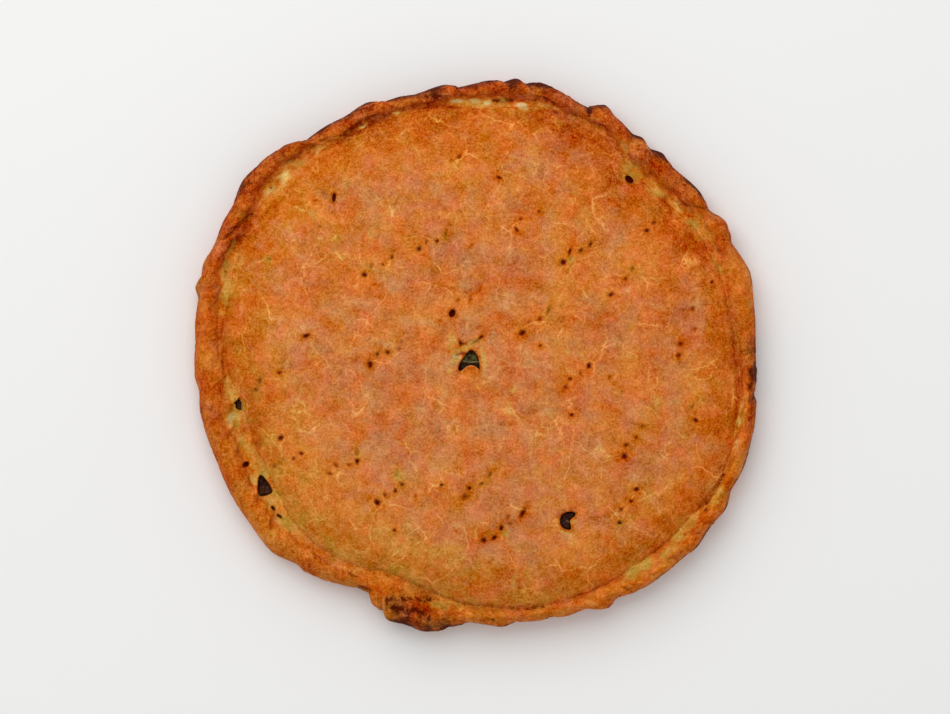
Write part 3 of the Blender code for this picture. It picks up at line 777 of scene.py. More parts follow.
def crust_material(name, crackle, mottled):
    """Return baked dough: mottled, sandy, crackled, and coloured by how far each place is baked."""
    material, tree, shader, place = new_material(name)
    fine = grain(tree, place, 1.15 * MM, 1.0, 0.6)
    sand = grain(tree, place, 3.2 * MM)
    mottle = grain(tree, place, 9 * MM, 3.0)
    clouds = grain(tree, place, 34 * MM, 2.0)
    powder = grain(tree, place, 1.9 * MM, 2.0, 0.7)
    bloom = grain(tree, place, 7 * MM, 3.0, 0.6)
    strewn = grain(tree, place, 15 * MM, 2.0, 0.6)
    stray = added(tree, "TexNoise", {"Vector": place, "Scale": 1 / STRAY, "Detail": 3.0})
    stray = worked(tree, "VectorMath", "SUBTRACT", stray.outputs["Color"], (0.5, 0.5, 0.5))
    strayed = with_shares(tree, stray, (STRAY, STRAY, STRAY), place)
    webs = []
    for length, width, where, spread, low, high in CRACKLE:
        feeds = {"Vector": strayed, "Scale": 1 / length}
        cells = added(tree, "TexVoronoi", feeds, feature="DISTANCE_TO_EDGE")
        lines = eased(tree, cells.outputs["Distance"], 0.0, width, 1.0, 0.0)
        cracked = grain(tree, place if where == "place" else strayed, spread, 4.0, 0.6)
        webs.append(worked(tree, "Math", "MULTIPLY", lines, eased(tree, cracked, low, high)))
    web = sum_of(tree, (webs[0], 1.0), (webs[1], 0.6))
    pores = added(tree, "TexVoronoi", {"Vector": strayed, "Scale": 1 / (2.6 * MM)})
    pore = eased(tree, pores.outputs["Distance"], 0.05, 0.22, 1.0, 0.0)
    baked = sum_of(
        tree, (kept_value(tree, "baked"), 1.0), (fine, 0.03), (sand, 0.07 * mottled),
        (mottle, 0.09 * mottled), (clouds, 0.22), (web, -0.14 * crackle), (pore, 0.05),
    )
    ramp = added(tree, "ValToRGB", {"Fac": baked})
    stops = ramp.color_ramp.elements
    for level, colour in BAKED_TONES[1:-1]:
        stops.new(level).color = tone(colour)
    stops[0].color = tone(BAKED_TONES[0][1])
    stops[-1].color = tone(BAKED_TONES[-1][1])
    oily = sum_of(tree, (kept_value(tree, "oily"), 1.0), (grain(tree, place, 11 * MM, 2.0, 0.6), 1.1))
    colour = blended(tree, eased(tree, oily, 0.04, 1.0, 0.0, 0.8), ramp.outputs["Color"], tone(OLIVE_TINT))
    dusty = kept_value(tree, "dusty")
    pink = sum_of(
        tree, (grain(tree, strayed, 12 * MM, 2.0), 1.2), (bloom, 0.7), (grain(tree, place, 38 * MM), 0.9),
        (dusty, 0.4), (kept_value(tree, "oily"), -0.5),
    )
    colour = blended(tree, eased(tree, pink, -0.25, 0.50, 0.0, 0.68), colour, tone(PINK_TINT))
    flour = sum_of(tree, (dusty, 1.0), (powder, 0.8), (bloom, 0.4), (clouds, 0.3))
    colour = blended(tree, eased(tree, flour, -0.5, 1.6, 0.0, 0.5), colour, tone(FLOUR_TINT))
    light = sum_of(
        tree, (fine, -0.42), (sand, -0.16), (mottle, -0.10), (clouds, -0.11), (strewn, 0.20), (bloom, 0.07),
        (web, 0.09 * crackle),
    )
    colour = with_shares(tree, light, SPECKLE, colour)
    drift = with_shares(tree, grain(tree, strayed, 13 * MM, 3.0, 0.6), HUE_DRIFT, (1, 1, 1))
    shade = sum_of(tree, (sand, -0.20), (mottle, -0.26), (fine, -0.10))
    drift = with_shares(tree, shade, SHADE, drift)
    colour = worked(tree, "VectorMath", "MULTIPLY", colour, drift)
    # Scorch, and painted shade at the rope's outer edge and by the lid's edge, darken towards this tone.
    scorched = sum_of(tree, (kept_value(tree, "scorched"), 1.0), (fine, 0.5), (sand, 0.6), (mottle, 0.6))
    colour = blended(tree, eased(tree, scorched, 0.12, 1.10, 0.0, 0.94), colour, tone(SCORCH_AND_SHADE_TONE))
    # Pits, cuts, creases and openings darken towards this tone: their own dark, and painted shade in them.
    colour = blended(tree, kept_value(tree, "pressed"), colour, tone(PIT_AND_SHADE_TONE))
    relief = sum_of(tree, (fine, 0.14), (sand, 0.16), (mottle, 0.5 * mottled), (web, -0.10), (pore, -0.10))
    finish_material(tree, shader, colour, relief, RELIEF, RELIEF_STRENGTH)
    tree.links.new(eased(tree, mottle, -0.15, 0.15, 0.58, 0.74), shader.inputs["Roughness"])
    shader.inputs["Specular IOR Level"].default_value = SHEEN
    shader.inputs["Specular Tint"].default_value = SHEEN_TINT
    return material


nothing_selected()
base_crust = turned_blank()
base_crust.name = "base_crust"
fold_the_rope(base_crust)
finish_the_rope(base_crust)
bpy.ops.object.shade_smooth()
base_crust.data.materials.append(crust_material("rope_crust", 0.4, 1.3))
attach(base_crust, "root")
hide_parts("crust")

# The lid: a sheet of the same dough laid over the filling, pricked in rows with a four-tined fork
# and snipped in two places to let the steam out. It bakes into a low dome with a full shoulder,
# orange-brown from the paprika oil, sandy to the touch and crackled all over.
DOME_HEIGHT = 37.8 * MM
DOME_FALL = 3.0  # how flat the dome's middle is
DOME_SHOULDER = 0.78  # how steeply its shoulder falls, and less is steeper
LUMP_HEIGHT = 1.3 * MM
LUMP_LENGTH = 46.0 * MM
LUMP_FADE = 4                         # how near the edge the lumps die away
LID_ROWS = 258
LID_CROWDING = 0.6  # how much closer the rows lie at the edge
LID_OVERLAP = 1.8 * MM  # how far the lid's edge reaches on below the groove's floor
PRICKS = (  # x, y, half-width and half-length in millimetres, direction, how dark, how oily
    (-64.9, 46.4, 1.1, 1.4, 160, 1, 0.3), (-60.7, 51.6, 0.6, 2.3, 90, 0.5, 0.6),
    (-54, 52.3, 0.75, 0.8, 0, 0.7, 0), (-48.4, 56.7, 0.8, 1.2, 80, 0.75, 0.5),
    (-47.5, 60.4, 0.7, 0.8, 0, 0.4, 0.4), (-32.8, 61.5, 1.2, 1.5, 20, 0.8, 0.7),
    (-28.8, 65.3, 0.6, 1.2, 90, 0.6, 0.4), (-22.4, 66.2, 0.85, 0.9, 0, 0.85, 0.2),
    (-17.3, 69.5, 0.8, 1.7, 90, 0.5, 0.7), (-2.1, 63.6, 0.7, 1, 30, 0.5, 0),
    (-59, 40.6, 0.6, 0.7, 0, 0.5, 0.3), (-9.7, 115.2, 0.9, 1.2, 70, 0.65, 0.4),
    (-13.8, 113.4, 0.8, 1, 0, 0.4, 0.2), (13.8, 103.3, 0.8, 1.3, 150, 0.9, 0),
    (37.4, 83.2, 0.9, 1, 0, 0.6, 0.4), (32.5, 79.7, 0.7, 0.7, 0, 0.3, 0),
    (26.4, 78.9, 0.9, 1.1, 60, 0.65, 0.3), (24, 72.7, 0.9, 1.5, 130, 0.8, 0.2),
    (55.2, 60.1, 0.7, 2.1, 70, 0.9, 0.3), (61.5, 60.7, 0.9, 1.4, 50, 0.75, 0.5),
    (67.1, 64.2, 0.7, 2, 65, 0.8, 0.4), (51.2, 53.7, 1.5, 1.6, 0, 1, 0.1),
    (100.1, 72.4, 1.1, 1.3, 20, 0.85, 0), (104.2, 76.8, 0.9, 1.1, 0, 0.65, 0),
    (110.8, 77.7, 0.8, 0.8, 0, 0.35, 0), (91.7, 49.8, 0.9, 1.4, 90, 0.55, 0.6),
    (87.5, 44.1, 0.8, 0.9, 0, 0.6, 0.3), (81.2, 40.1, 0.6, 0.7, 0, 0.35, 0.2),
    (79.1, 34.9, 1, 1.7, 30, 0.8, 0), (138.2, 42.2, 0.8, 1, 60, 0.8, 0),
    (126.9, 26.7, 1.1, 1.1, 0, 0.55, 0), (127.8, 32.5, 1.2, 1.2, 0, 0.3, 0.3),
    (128.1, 14.7, 0.9, 1.1, 0, 0.35, 0.2), (119.9, 5.9, 1.1, 1.1, 0, 0.7, 0),
    (118.8, -0.7, 1.1, 1.4, 30, 0.75, 0), (128.2, -11.9, 0.5, 1.2, 10, 0.45, 0),
    (126.8, -30.9, 1.2, 1.3, 0, 0.4, 0.5), (128.9, -38.5, 0.8, 1.5, 145, 0.95, 0),
    (87, -59.5, 1.55, 1.6, 0, 1, 0), (87.9, -53, 1.1, 1.1, 0, 0.75, 0),
    (93.9, -48.6, 0.9, 0.9, 0, 0.65, 0), (97.6, -42.2, 1.1, 1.1, 0, 0.5, 0.2),
    (94.1, -78.8, 1, 1.4, 10, 0.9, 0), (91.1, -85.7, 0.9, 1.1, 20, 0.8, 0),
    (85.1, -90.7, 0.95, 1, 0, 0.75, 0), (84.3, -98.3, 0.9, 1.2, 10, 1, 0.6),
    (-98.6, 10.8, 0.9, 1.6, 30, 1, 0), (-114.4, -10.8, 0.9, 1.5, 0, 0.75, 0.1),
    (-126, -15.5, 0.8, 2.3, 85, 0.6, 0.6), (-128.4, -20.8, 1.1, 1.2, 0, 0.55, 0.3),
    (-61.4, -5.9, 1.1, 2, 100, 1, 0), (-57.3, 0.3, 0.8, 1.4, 90, 0.75, 0.6),
    (-51, 0.9, 1, 1.1, 0, 0.8, 0), (-44.3, 3, 1.2, 1.3, 0, 0.5, 0), (-43.1, 6.7, 1.5, 1.7, 60, 0.35, 0),
    (-113.9, -48.9, 1.3, 1.7, 35, 0.9, 0), (-101.7, -58, 1, 1.2, 150, 0.75, 0),
    (-106.4, -61, 0.9, 1, 0, 0.65, 0.2), (-112.8, -61.5, 0.8, 0.9, 0, 0.35, 0.2),
    (-117.5, -65.6, 0.9, 1.3, 140, 0.55, 0), (-68.9, -62.4, 1, 1.3, 90, 1, 0.2),
    (-69.2, -57.1, 0.9, 3, 90, 0.4, 0.7), (-81.5, -64.8, 1, 1.7, 135, 0.6, 0.4),
    (-74, -64.5, 0.9, 1.1, 0, 0.6, 0), (-85, -69.9, 0.9, 1.5, 150, 0.65, 0.2),
    (-57.3, -86.5, 1.3, 1.8, 140, 1, 0.3), (-53, -82.1, 0.8, 1.3, 135, 0.65, 0.3),
    (-46.8, -79.7, 0.9, 1.4, 90, 0.8, 0.6), (-43.1, -75.9, 0.9, 1.3, 145, 0.7, 0.3),
    (-45.7, -70, 1.2, 2.2, 90, 0.25, 0.8), (-47.4, -102.7, 0.85, 0.9, 0, 0.8, 0.1),
    (-34.9, -82.9, 0.6, 1.2, 90, 0.5, 0), (-19.8, -76.4, 0.9, 1, 0, 0.8, 0.5),
    (-3.5, -78, 1, 1.1, 0, 0.85, 0.3), (-6.3, -83.5, 1.5, 2, 35, 0.65, 0.3),
    (8.5, -70, 0.8, 1.6, 75, 0.6, 0.6), (3.5, -75.4, 0.8, 1.2, 20, 0.6, 0.4),
    (-11.1, -103.2, 0.8, 0.8, 0, 0.45, 0.2), (27.5, -92.9, 0.95, 2.7, 58, 1, 0),
    (19, -95.2, 0.8, 1.7, 90, 0.4, 0.2), (20.5, -99.1, 0.8, 1.1, 0, 0.4, 0),
    (15.1, -101.4, 0.9, 1.4, 85, 1, 0.4), (11, -107.1, 1.1, 1.6, 50, 1, 0),
    (5, -108.6, 1.4, 1.5, 0, 0.95, 0.2), (-9.7, 31.5, 0.8, 1.2, 90, 0.45, 0),
    (-2.9, 32.2, 0.8, 1.5, 60, 0.55, 0), (2.6, 36.6, 0.7, 1.6, 70, 0.45, 0),
    (27.5, 12.6, 1.25, 1.8, 35, 1, 0), (31.2, 18.8, 0.9, 0.9, 0, 0.45, 0),
    (37.5, 20.5, 1, 1.3, 90, 0.7, 0), (42.7, 25.5, 0.8, 3.2, 72, 0.55, 0.5),
    (37.8, 5, 0.7, 0.75, 0, 0.8, 0.2), (66.2, -6.7, 0.95, 1.6, 75, 1, 0.2),
    (61.4, -11.1, 0.7, 1.4, 80, 0.6, 0.2), (55.4, -14.2, 0.9, 1.1, 0, 0.75, 0),
    (52.7, -19.3, 1.2, 1.4, 30, 0.6, 0), (56.1, -35.2, 0.9, 0.95, 0, 1, 0),
    (78.1, -12.9, 0.5, 0.6, 0, 0.6, 0), (-121, 55.5, 1.1, 1.3, 0, 0.35, 0.6),
    (-90.8, 74.7, 0.8, 0.9, 0, 0.4, 0.5), (-93.2, 89.7, 0.8, 0.9, 0, 0.4, 0.2),
    (-20.6, 19.9, 0.6, 0.7, 0, 0.45, 0), (-8.6, 6.3, 0.9, 1.1, 100, 0.95, 0.2),
    (2.9, 9.8, 0.7, 1.1, 40, 0.8, 0.2),
)
VENTS = {
    "filling_centre_vent": (
        (2.8, -10), (2.6, -4), (0.6, 1), (-2.3, 3.4), (-5, 1.5), (-7.4, -2), (-10.1, -6), (-10.4, -10),
        (-8, -9.8), (-5.9, -7.6), (-2.6, -6.1), (0.7, -7.5),
    ),
    "filling_side_vent": (
        (58.4, -91.7), (53.8, -91.4), (50.4, -93), (49, -96), (49.2, -99.4), (51, -101.8),
        (55.7, -103.2), (56.2, -100.5), (55, -97.6), (56.4, -95.8), (58.8, -94.2),
    ),
}
LID_HOLES = (  # x, y, length, width, direction and depth in millimetres
    (90, 102.3, 6.2, 4.2, 139, 5), (-13.6, 24, 5.3, 4.1, 65, 4), (-82.6, 91.6, 5.8, 2.8, 85, 2.6),
)
LID_UNDERSIDE = 14.9 * MM
LID_LEAST = 0.3 * MM  # thickness of the dough left under a vent
BLANK_THICKNESS = 1 * MM  # of a sheet, before its two sides are put in their places
VENT_LIP = 0.35 * MM  # how far the torn edge of a vent curls up
PRICK_LIP = 0.22 * MM
FINE_PRICK = 2.4  # reach of the smaller faces round a prick, in its half-widths
FINE_VENT = 2.2 * MM  # their reach round a vent
FINEST_WALL = 1.2 * MM  # reach of the smallest faces, at a vent's wall
LID_BAKED = 0.475  # the lid's own, before its border, pricks and marks
LID_DUSTY = 0.02
LID_MARKS = (  # x, y, half-length, half-width in millimetres, direction, baked, oily, dusty
    (-14, -12, 62, 50, 0, 0.055, 0, 0.13), (-2.6, -11, 4.5, 3.5, 0, -0.05, -0.3, -0.5),
    (-14.2, 5.5, 10, 2.8, 95, -0.22, 0.8, 0), (-10.8, 0, 7.5, 1.8, 82, -0.26, 0.9, 0),
    (-2, 6.6, 6.5, 1.8, 25, -0.16, 1, 0), (4.5, -3.4, 10, 1.6, 90, -0.26, 1, 0.2),
    (-9.2, -1.3, 4, 1.3, -8, -0.45, 0.3, 0.2), (-6, 2.6, 5, 2.4, 10, -0.12, 0.9, 0),
    (1.5, -19, 2.2, 2, 0, -0.14, 0.2, 0), (-15, -9, 3, 4, 0, -0.08, 0.4, 0),
    (-3.5, 9.5, 2.2, 2.2, 0, -0.05, 0.1, -0.3), (91, 105, 7, 6.5, 60, -0.1, 0.8, 0.1),
    (92, 110, 4.5, 6, 0, -0.08, 0.8, 0.2), (-80.2, 90.6, 1.9, 1.6, 90, -0.36, 0, 2.4),
    (-77.5, 90.2, 2.9, 0.9, 80, -0.18, 0.3, 0), (56.9, -97.5, 1.9, 1.3, 0, -0.16, 1, 0),
    (54, -107, 5, 2.6, 0, -0.05, 0, 0.5), (53.9, 1.5, 2.2, 0.9, 0, -0.18, 0.3, 0.2),
    (89.1, 0.3, 2.4, 1.3, 80, -0.17, 0.5, 0.2), (89.4, 37.5, 2.4, 1.5, 60, -0.2, 0, 0.4),
    (-47.8, 84.1, 2.5, 1.6, 20, -0.16, 0.2, 0.3), (105.8, -26.7, 3.5, 2, 100, -0.1, 0.5, 0.2),
    (17.3, -104.6, 2.6, 2.4, 0, -0.1, 0.9, 0.1), (7.9, -104, 2.8, 1.6, 0, 0.05, 0.5, -0.3),
    (-51.9, 61.8, 4, 3, 90, -0.02, 0.6, 0), (-53, 99.9, 5.5, 1.4, 85, -0.08, 0.6, 0.2),
    (-76.5, 100.5, 4.5, 4, 90, -0.02, 0.5, 0.4), (-60.7, 69.5, 6.5, 2.4, 80, -0.05, 0.6, 0.2),
    (-95.8, 82.9, 7, 2.4, 110, -0.02, 0.6, 0.1), (-45.4, -114.6, 7, 4, 0, -0.08, 0.6, 0.1),
    (23.2, -129.2, 9, 1.6, 80, -0.06, 0.8, 0.2), (78.8, -68.9, 8, 3, 90, -0.02, 0.4, 0.2),
    (57.5, 55, 4.5, 3.2, 20, -0.04, 0.8, 0.2), (22, -19.6, 3, 2.6, 60, -0.14, 0.5, 0),
    (18.8, -32.5, 3.8, 2.6, 0, -0.16, 0.3, 0.1), (3.5, -130, 12, 4, 20, -0.03, 0.4, 0),
)
BROAD_MARK = 20  # half-length in millimetres from which a mark is even
LID_BORDER = np.array((  # angle, and how much more the lid's border is baked and oiled there
    (0, 0, 0), (45, 0.03, 0), (75, 0.01, 0), (105, 0, 0), (135, -0.05, 0.05), (165, -0.04, 0.1),
    (195, 0, 0.2), (225, -0.04, 0.35), (255, -0.02, 0.4), (285, 0, 0.25), (315, -0.03, 0.1),
    (345, -0.02, 0), (360, 0, 0),
))
LID_LINES = (  # half-width, baked, oily and how dark the cut is, its own dark and painted shade, and the line's points, in millimetres
    (0.8, 0.1, 0.2, 1, ((-9.6, 8.9), (-8.6, 6.2), (-4.9, 6.5))),
    (0.9, 0.1, 0.3, 1.1, ((-0.6, 7.3), (1.4, 8.4), (3.6, 10.5))),
    (0.9, 0.1, 0.4, 1.2, ((-10.6, -0.1), (-8, 0.6), (-5.2, 0.4))),
    (0.5, -0.24, 0, 0, (
        (-8, -10.4), (-6.7, -7.9), (-4.7, -6.7), (-2.6, -6.4), (-0.3, -6.8), (1.2, -8.6),
    )),
    (1.3, 0.28, 0.6, 0, ((47.6, -94.5), (50.2, -91.3), (55.4, -90.2), (58.6, -91.2))),
    (0.8, -0.12, 0.5, 0, ((47.7, -95.8), (48.2, -100.8), (51.3, -104), (55.4, -104.8))),
    (1.1, -0.2, 0.45, 0, (
        (24, -16.7), (21.4, -22), (19, -28.4), (20.2, -33.7), (17.9, -43.1), (16.1, -50.1), (14.4, -55.4),
    )),
    (0.6, -0.2, 0.1, 0, ((-81.5, 69.5), (-81.8, 60.7), (-78.8, 56.6), (-74.1, 52.5), (-68.9, 48.4))),
    (0.55, -0.17, 0.1, 0, (
        (-102.3, 43.1), (-101.7, 50.1), (-99.3, 52.7), (-92.3, 53.6), (-87, 57.4), (-81.8, 59.5),
    )),
    (0.5, -0.17, 0, 0, ((-97.6, 68.9), (-97, 63), (-95.2, 58.3))),
    (0.5, -0.15, 0, 0, ((-91.1, 73.6), (-87.6, 70), (-85.9, 65.9))),
    (0.6, -0.17, 0.2, 0, ((-51.9, 92.9), (-50.7, 85.9), (-48.9, 81.8), (-46.6, 84.1), (-43.1, 85.9))),
    (0.7, -0.17, 0, 0, ((-75.9, 42.5), (-72.4, 39.6), (-68.9, 39))),
    (0.6, -0.16, 0, 0, ((-108.7, 84.7), (-104.6, 86.5), (-100.5, 83.5))),
    (0.7, -0.16, 0, 0, ((-107.6, 73), (-106.4, 67.1))),
    (0.6, -0.2, 0, 0, ((-22.6, -92.9), (-19, -98.2), (-13.8, -100.5), (-9.1, -98.8), (-6.2, -95.8))),
    (0.8, -0.18, 0.3, 0, ((-29.6, -90), (-26.1, -91.1), (-23.7, -89.4))),
    (0.6, -0.18, 0.1, 0, ((0.3, -101.1), (0.3, -107))),
    (0.5, -0.15, 0, 0, ((13.2, -110.5), (16.7, -115.8), (19, -121))),
    (0.6, -0.16, 0, 0, ((94.7, -85.9), (105.2, -80.6), (111.7, -77.7))),
)


def lid_places(points):
    """Return where the points of a square sheet of side 2 lie on the round lid."""
    across, along = points[:, 0], points[:, 1]
    wide = np.abs(across) > np.abs(along)
    reach = np.where(wide, across, along)
    other = np.where(wide, along, across)
    slope = np.divide(other, reach, out=np.zeros(len(points)), where=np.abs(reach) > 1e-9)
    turn = np.where(wide, slope * math.pi / 4, math.pi / 2 - slope * math.pi / 4)
    turn = np.where(reach < 0, turn + math.pi, turn)
    bend = LID_CROWDING * math.pi / 2
    share = np.sin(np.abs(reach) * bend) / math.sin(bend)
    radius = share * (lid_edge(np.degrees(turn)) + LID_OVERLAP)
    return PIE_MIDDLE[0] + radius * np.cos(turn), PIE_MIDDLE[1] + radius * np.sin(turn)


def dome_height(points):
    """Return the height of the baked lid at each point."""
    angle, radius = polar(points)
    beyond = np.maximum(0, radius - lid_edge(angle))
    share = np.minimum(1.0, radius / lid_edge(angle))
    swell = (1 - share ** DOME_FALL) ** DOME_SHOULDER
    flat = np.stack([points[:, 0] - CENTRED[0], points[:, 1] - CENTRED[1], 0 * share], axis=1)
    fade = 1 - share ** LUMP_FADE
    lump = waves(flat, LUMP_LENGTH) * LUMP_HEIGHT * fade
    small = 0.22 * waves(flat, 13 * MM, 21) + 0.12 * waves(flat, 5 * MM, 22)
    small += 0.25 * rim_wrinkles(angle, radius, 19) * soft_step(0.90, 0.98, share)
    groove = groove_height(angle)
    return groove + (DOME_HEIGHT - groove) * swell + lump + small * MM - beyond


def oval_shares(places, x, y, length, width, direction):
    """Return how far places lie along and across an oval, as shares of its half-length and half-width."""
    turn = math.radians(direction)
    east, north = (places - CENTRED).T / MM - np.array(((x,), (y,)))
    along = (east * math.cos(turn) + north * math.sin(turn)) / length
    return along, (north * math.cos(turn) - east * math.sin(turn)) / width


def prick_gaps(points):
    """Return each point's distance to the nearest prick, as a share of the prick's size, and which."""
    best = np.full(len(points), 99.0)
    which = np.zeros(len(points), int)
    for index, (x, y, width, length, direction, *_) in enumerate(PRICKS):
        gap = np.hypot(*oval_shares(points[:, :2], x, y, length, width, direction))
        closer = gap < best
        best[closer] = gap[closer]
        which[closer] = index
    return best, which


def baked_lid():
    """Lay, prick, snip and bake the lid, and return it."""
    nothing_selected()
    bpy.ops.mesh.primitive_grid_add(x_subdivisions=LID_ROWS, y_subdivisions=LID_ROWS, size=2)
    sheet = bpy.context.object
    sheet.name = "lid"
    points = points_of(sheet)
    points[:, 0], points[:, 1] = lid_places(points)
    place_points(sheet, points)
    openings = [(torn_outline(outline), GAP_DEPTH) for outline in VENTS.values()]
    openings += [(oval(*hole), depth * MM) for *hole, depth in LID_HOLES]
    middles = face_middles(sheet)
    near_detail = (prick_gaps(middles)[0] < FINE_PRICK) | near_openings(middles, openings, FINE_VENT)
    for *_, line in LID_LINES:
        near_detail |= to_line(middles[:, :2], plan(line))[0] < FINE_BORDER
    divide_faces(sheet, near_detail, 2)
    divide_faces(sheet, near_openings(face_middles(sheet), openings, FINEST_WALL, FINEST_WALL), 1)
    bpy.ops.object.mode_set(mode="EDIT")
    bpy.ops.mesh.select_all(action="SELECT")
    bpy.ops.mesh.region_to_loop()
    bpy.ops.mesh.extrude_edges_move(TRANSFORM_OT_translate={"value": (0, 0, -BLANK_THICKNESS)})
    bpy.ops.mesh.extrude_edges_move()
    bpy.ops.transform.resize(value=(0.5, 0.5, 1), center_override=(*PIE_MIDDLE, 0))
    bpy.ops.mesh.extrude_edges_move()
    bpy.ops.mesh.merge(type="CENTER")
    face_outwards()
    points = points_of(sheet)
    under = points[:, 2] < -BLANK_THICKNESS / 2
    points[:, 2] = np.where(under, LID_UNDERSIDE, dome_height(points))
    gap, which = prick_gaps(swayed(points, 0.35 * MM, 2.5 * MM, 35))
    width, _, _, dark, oily = np.array(PRICKS)[which, 2:].T
    pit = hill(gap, 1.0) * np.minimum(1, width) * ~under
    points[:, 2] -= pit * (0.6 + 1.8 * dark) * MM
    points[:, 2] += PRICK_LIP * hill(gap - 1.8, 0.5) * dark * ~under
    hollow_shade, rim = np.zeros((2, len(points)))
    for outline, depth in openings:
        inside = depth_inside(points, outline)
        deep = points[:, 2] - depth * soft_step(0, WALL_WIDTH, inside)
        points[:, 2] = np.where(under, points[:, 2], np.maximum(deep, LID_UNDERSIDE + LID_LEAST))
        points[:, 2] += VENT_LIP * hill(inside + 0.6 * MM, 0.7 * MM) * ~under
        # Painted shade inside each opening.
        hollow_shade = np.maximum(hollow_shade, soft_step(-0.2 * MM, 0.7 * MM, inside))
        rim = np.maximum(rim, hill(inside + 0.5 * MM, 0.8 * MM))
    place_points(sheet, points)
    finish_the_lid(sheet, points, (gap, dark, oily), hollow_shade, rim)
    return sheet


def finish_the_lid(sheet, points, pricks, hollow_shade, rim):
    """Keep how each place of the lid is baked, oily, dusty and scorched, and how dark its pits are, with
    painted shade in them and in the openings.
    """
    angle, radius = polar(points)
    share = radius / lid_edge(angle)
    prick_gap, dark, prick_oily = pricks
    lighter = np.cos(np.radians(angle - PALE_SIDE)) * np.minimum(1, 1.5 * share)
    # Darker towards the border: partly a deeper bake, partly painted shade of the falling shoulder; the
    # last sliver at the edge is painted shade.
    baked = LID_BAKED + 0.09 * soft_step(0.80, 1.0, share) - 0.016 * lighter
    baked += 0.08 * soft_step(0.985, 1.0, share)
    baked += 0.08 * rim_wrinkles(angle, radius, 19) * soft_step(0.88, 0.97, share)
    baked += 0.10 * dark * hill(prick_gap, 2.0) + 0.10 * rim
    oily = 0.15 * soft_step(0.88, 0.99, share) + prick_oily * hill(prick_gap, 2.4) + 0.2 * rim
    border = soft_step(0.72, 0.88, share)
    more_baked, more_oiled = round_the_rim(LID_BORDER, angle)
    baked += border * more_baked
    oily += border * more_oiled
    dusty = LID_DUSTY - 0.42 * soft_step(0.74, 1.0, share) + 0.06 * lighter
    dusty -= 1.1 * dark * hill(prick_gap, 2.6) + 0.5 * rim
    # Prick holes darken with their own dark red-brown and with painted shade.
    pressed = np.maximum(hollow_shade, np.clip(1.5 * dark ** 1.7 * hill(prick_gap, 0.95), 0, 1))
    places = swayed(points, 1.2 * MM, 6 * MM, 31)[:, :2]
    patchy = np.clip(0.85 + 1.1 * waves(points, 2.6 * MM, 38), 0.25, 1.3)
    for *mark, bake, oil, dust in LID_MARKS:
        along, across = oval_shares(places, *mark)
        strength = np.exp(-(along ** 2 + across ** 2) ** 1.3)
        if mark[2] < BROAD_MARK:
            strength *= patchy
        baked += bake * strength
        oily = np.maximum(oily, oil * strength)
        dusty += dust * strength
    broken = 0.6 + 1.1 * waves(points, 4 * MM, 34)
    places = points[:, :2] + 0.35 * (places - points[:, :2])
    for width, bake, oil, cut, line in LID_LINES:
        gap, _ = to_line(places, plan(line))
        near = hill(gap, width * MM) * np.clip(broken, 0.2 if bake < 0 else 0.6, 1.2)
        baked += bake * near
        oily = np.maximum(oily, oil * near)
        pressed = np.maximum(pressed, cut * near)
    inner_edge = 0.975 + 0.012 * waves(points, 9 * MM, 39) + 0.006 * waves(points, 3 * MM, 40)
    bare = 0.8 * bare_share(angle) * soft_step(inner_edge, inner_edge + 0.02, share)
    paler, more_oily, scorched = rim_patches(points, bare)
    baked -= 0.9 * paler
    oily = np.maximum(oily, more_oily)
    keep(sheet, baked=baked, oily=oily, dusty=dusty, scorched=scorched, pressed=pressed)


lid = baked_lid()
bpy.ops.object.shade_smooth()
lid.data.materials.append(crust_material("lid_crust", 1.25, 0.9))
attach(lid, "root")
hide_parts("crust")

# The filling that shows: stewed onion, cod and olive in the arched vent, and dark raisin and onion
# in the side vent and in the torn gaps of the rim. Each heap fills its opening, a little way down.
FILLING_ROWS = 60
HEAP_DROP = 1.0 * MM  # how far the heap lies below its solid's top
HEAP_BASE = 0.2 * MM  # how far its underside lies above its solid's
EDGE_DROP = 1.2 * MM  # how much lower the heap is where the dough shades it
CENTRE_LIT = (-1.6, 2.8)  # the strip lit in the centre vent: y of the plan, half-width, mm
SIDE_LIT = 0.3  # how much of its own colour the filling of the side vent shows; the rest is painted shade
FILLING_RELIEF = 0.8 * MM
FILLINGS = (  # slot, nodes, and the colours of morsels, of the painted shade between them and under the dough's edge, and of strands
    ("green_filling", ("filling_centre_vent",), ((90, 88, 38), (44, 14, 2), (146, 144, 96))),
    (
        "dark_filling", ("filling_side_vent", "filling_rim_gap_left", "filling_rim_gap_lower"),
        ((76, 40, 14), (44, 8, 0), (130, 98, 66)),
    ),
)
GLINTS = {  # a pale strand in the centre vent and a painted glint in the side vent: half-width, and points in millimetres of the plan
    "filling_centre_vent": (0.35, ((-7.3, -3.7), (-3.5, -4.5), (2, -4.2))),
    "filling_side_vent": (0.5, ((53.4, -97.2), (54.4, -97.6))),
}


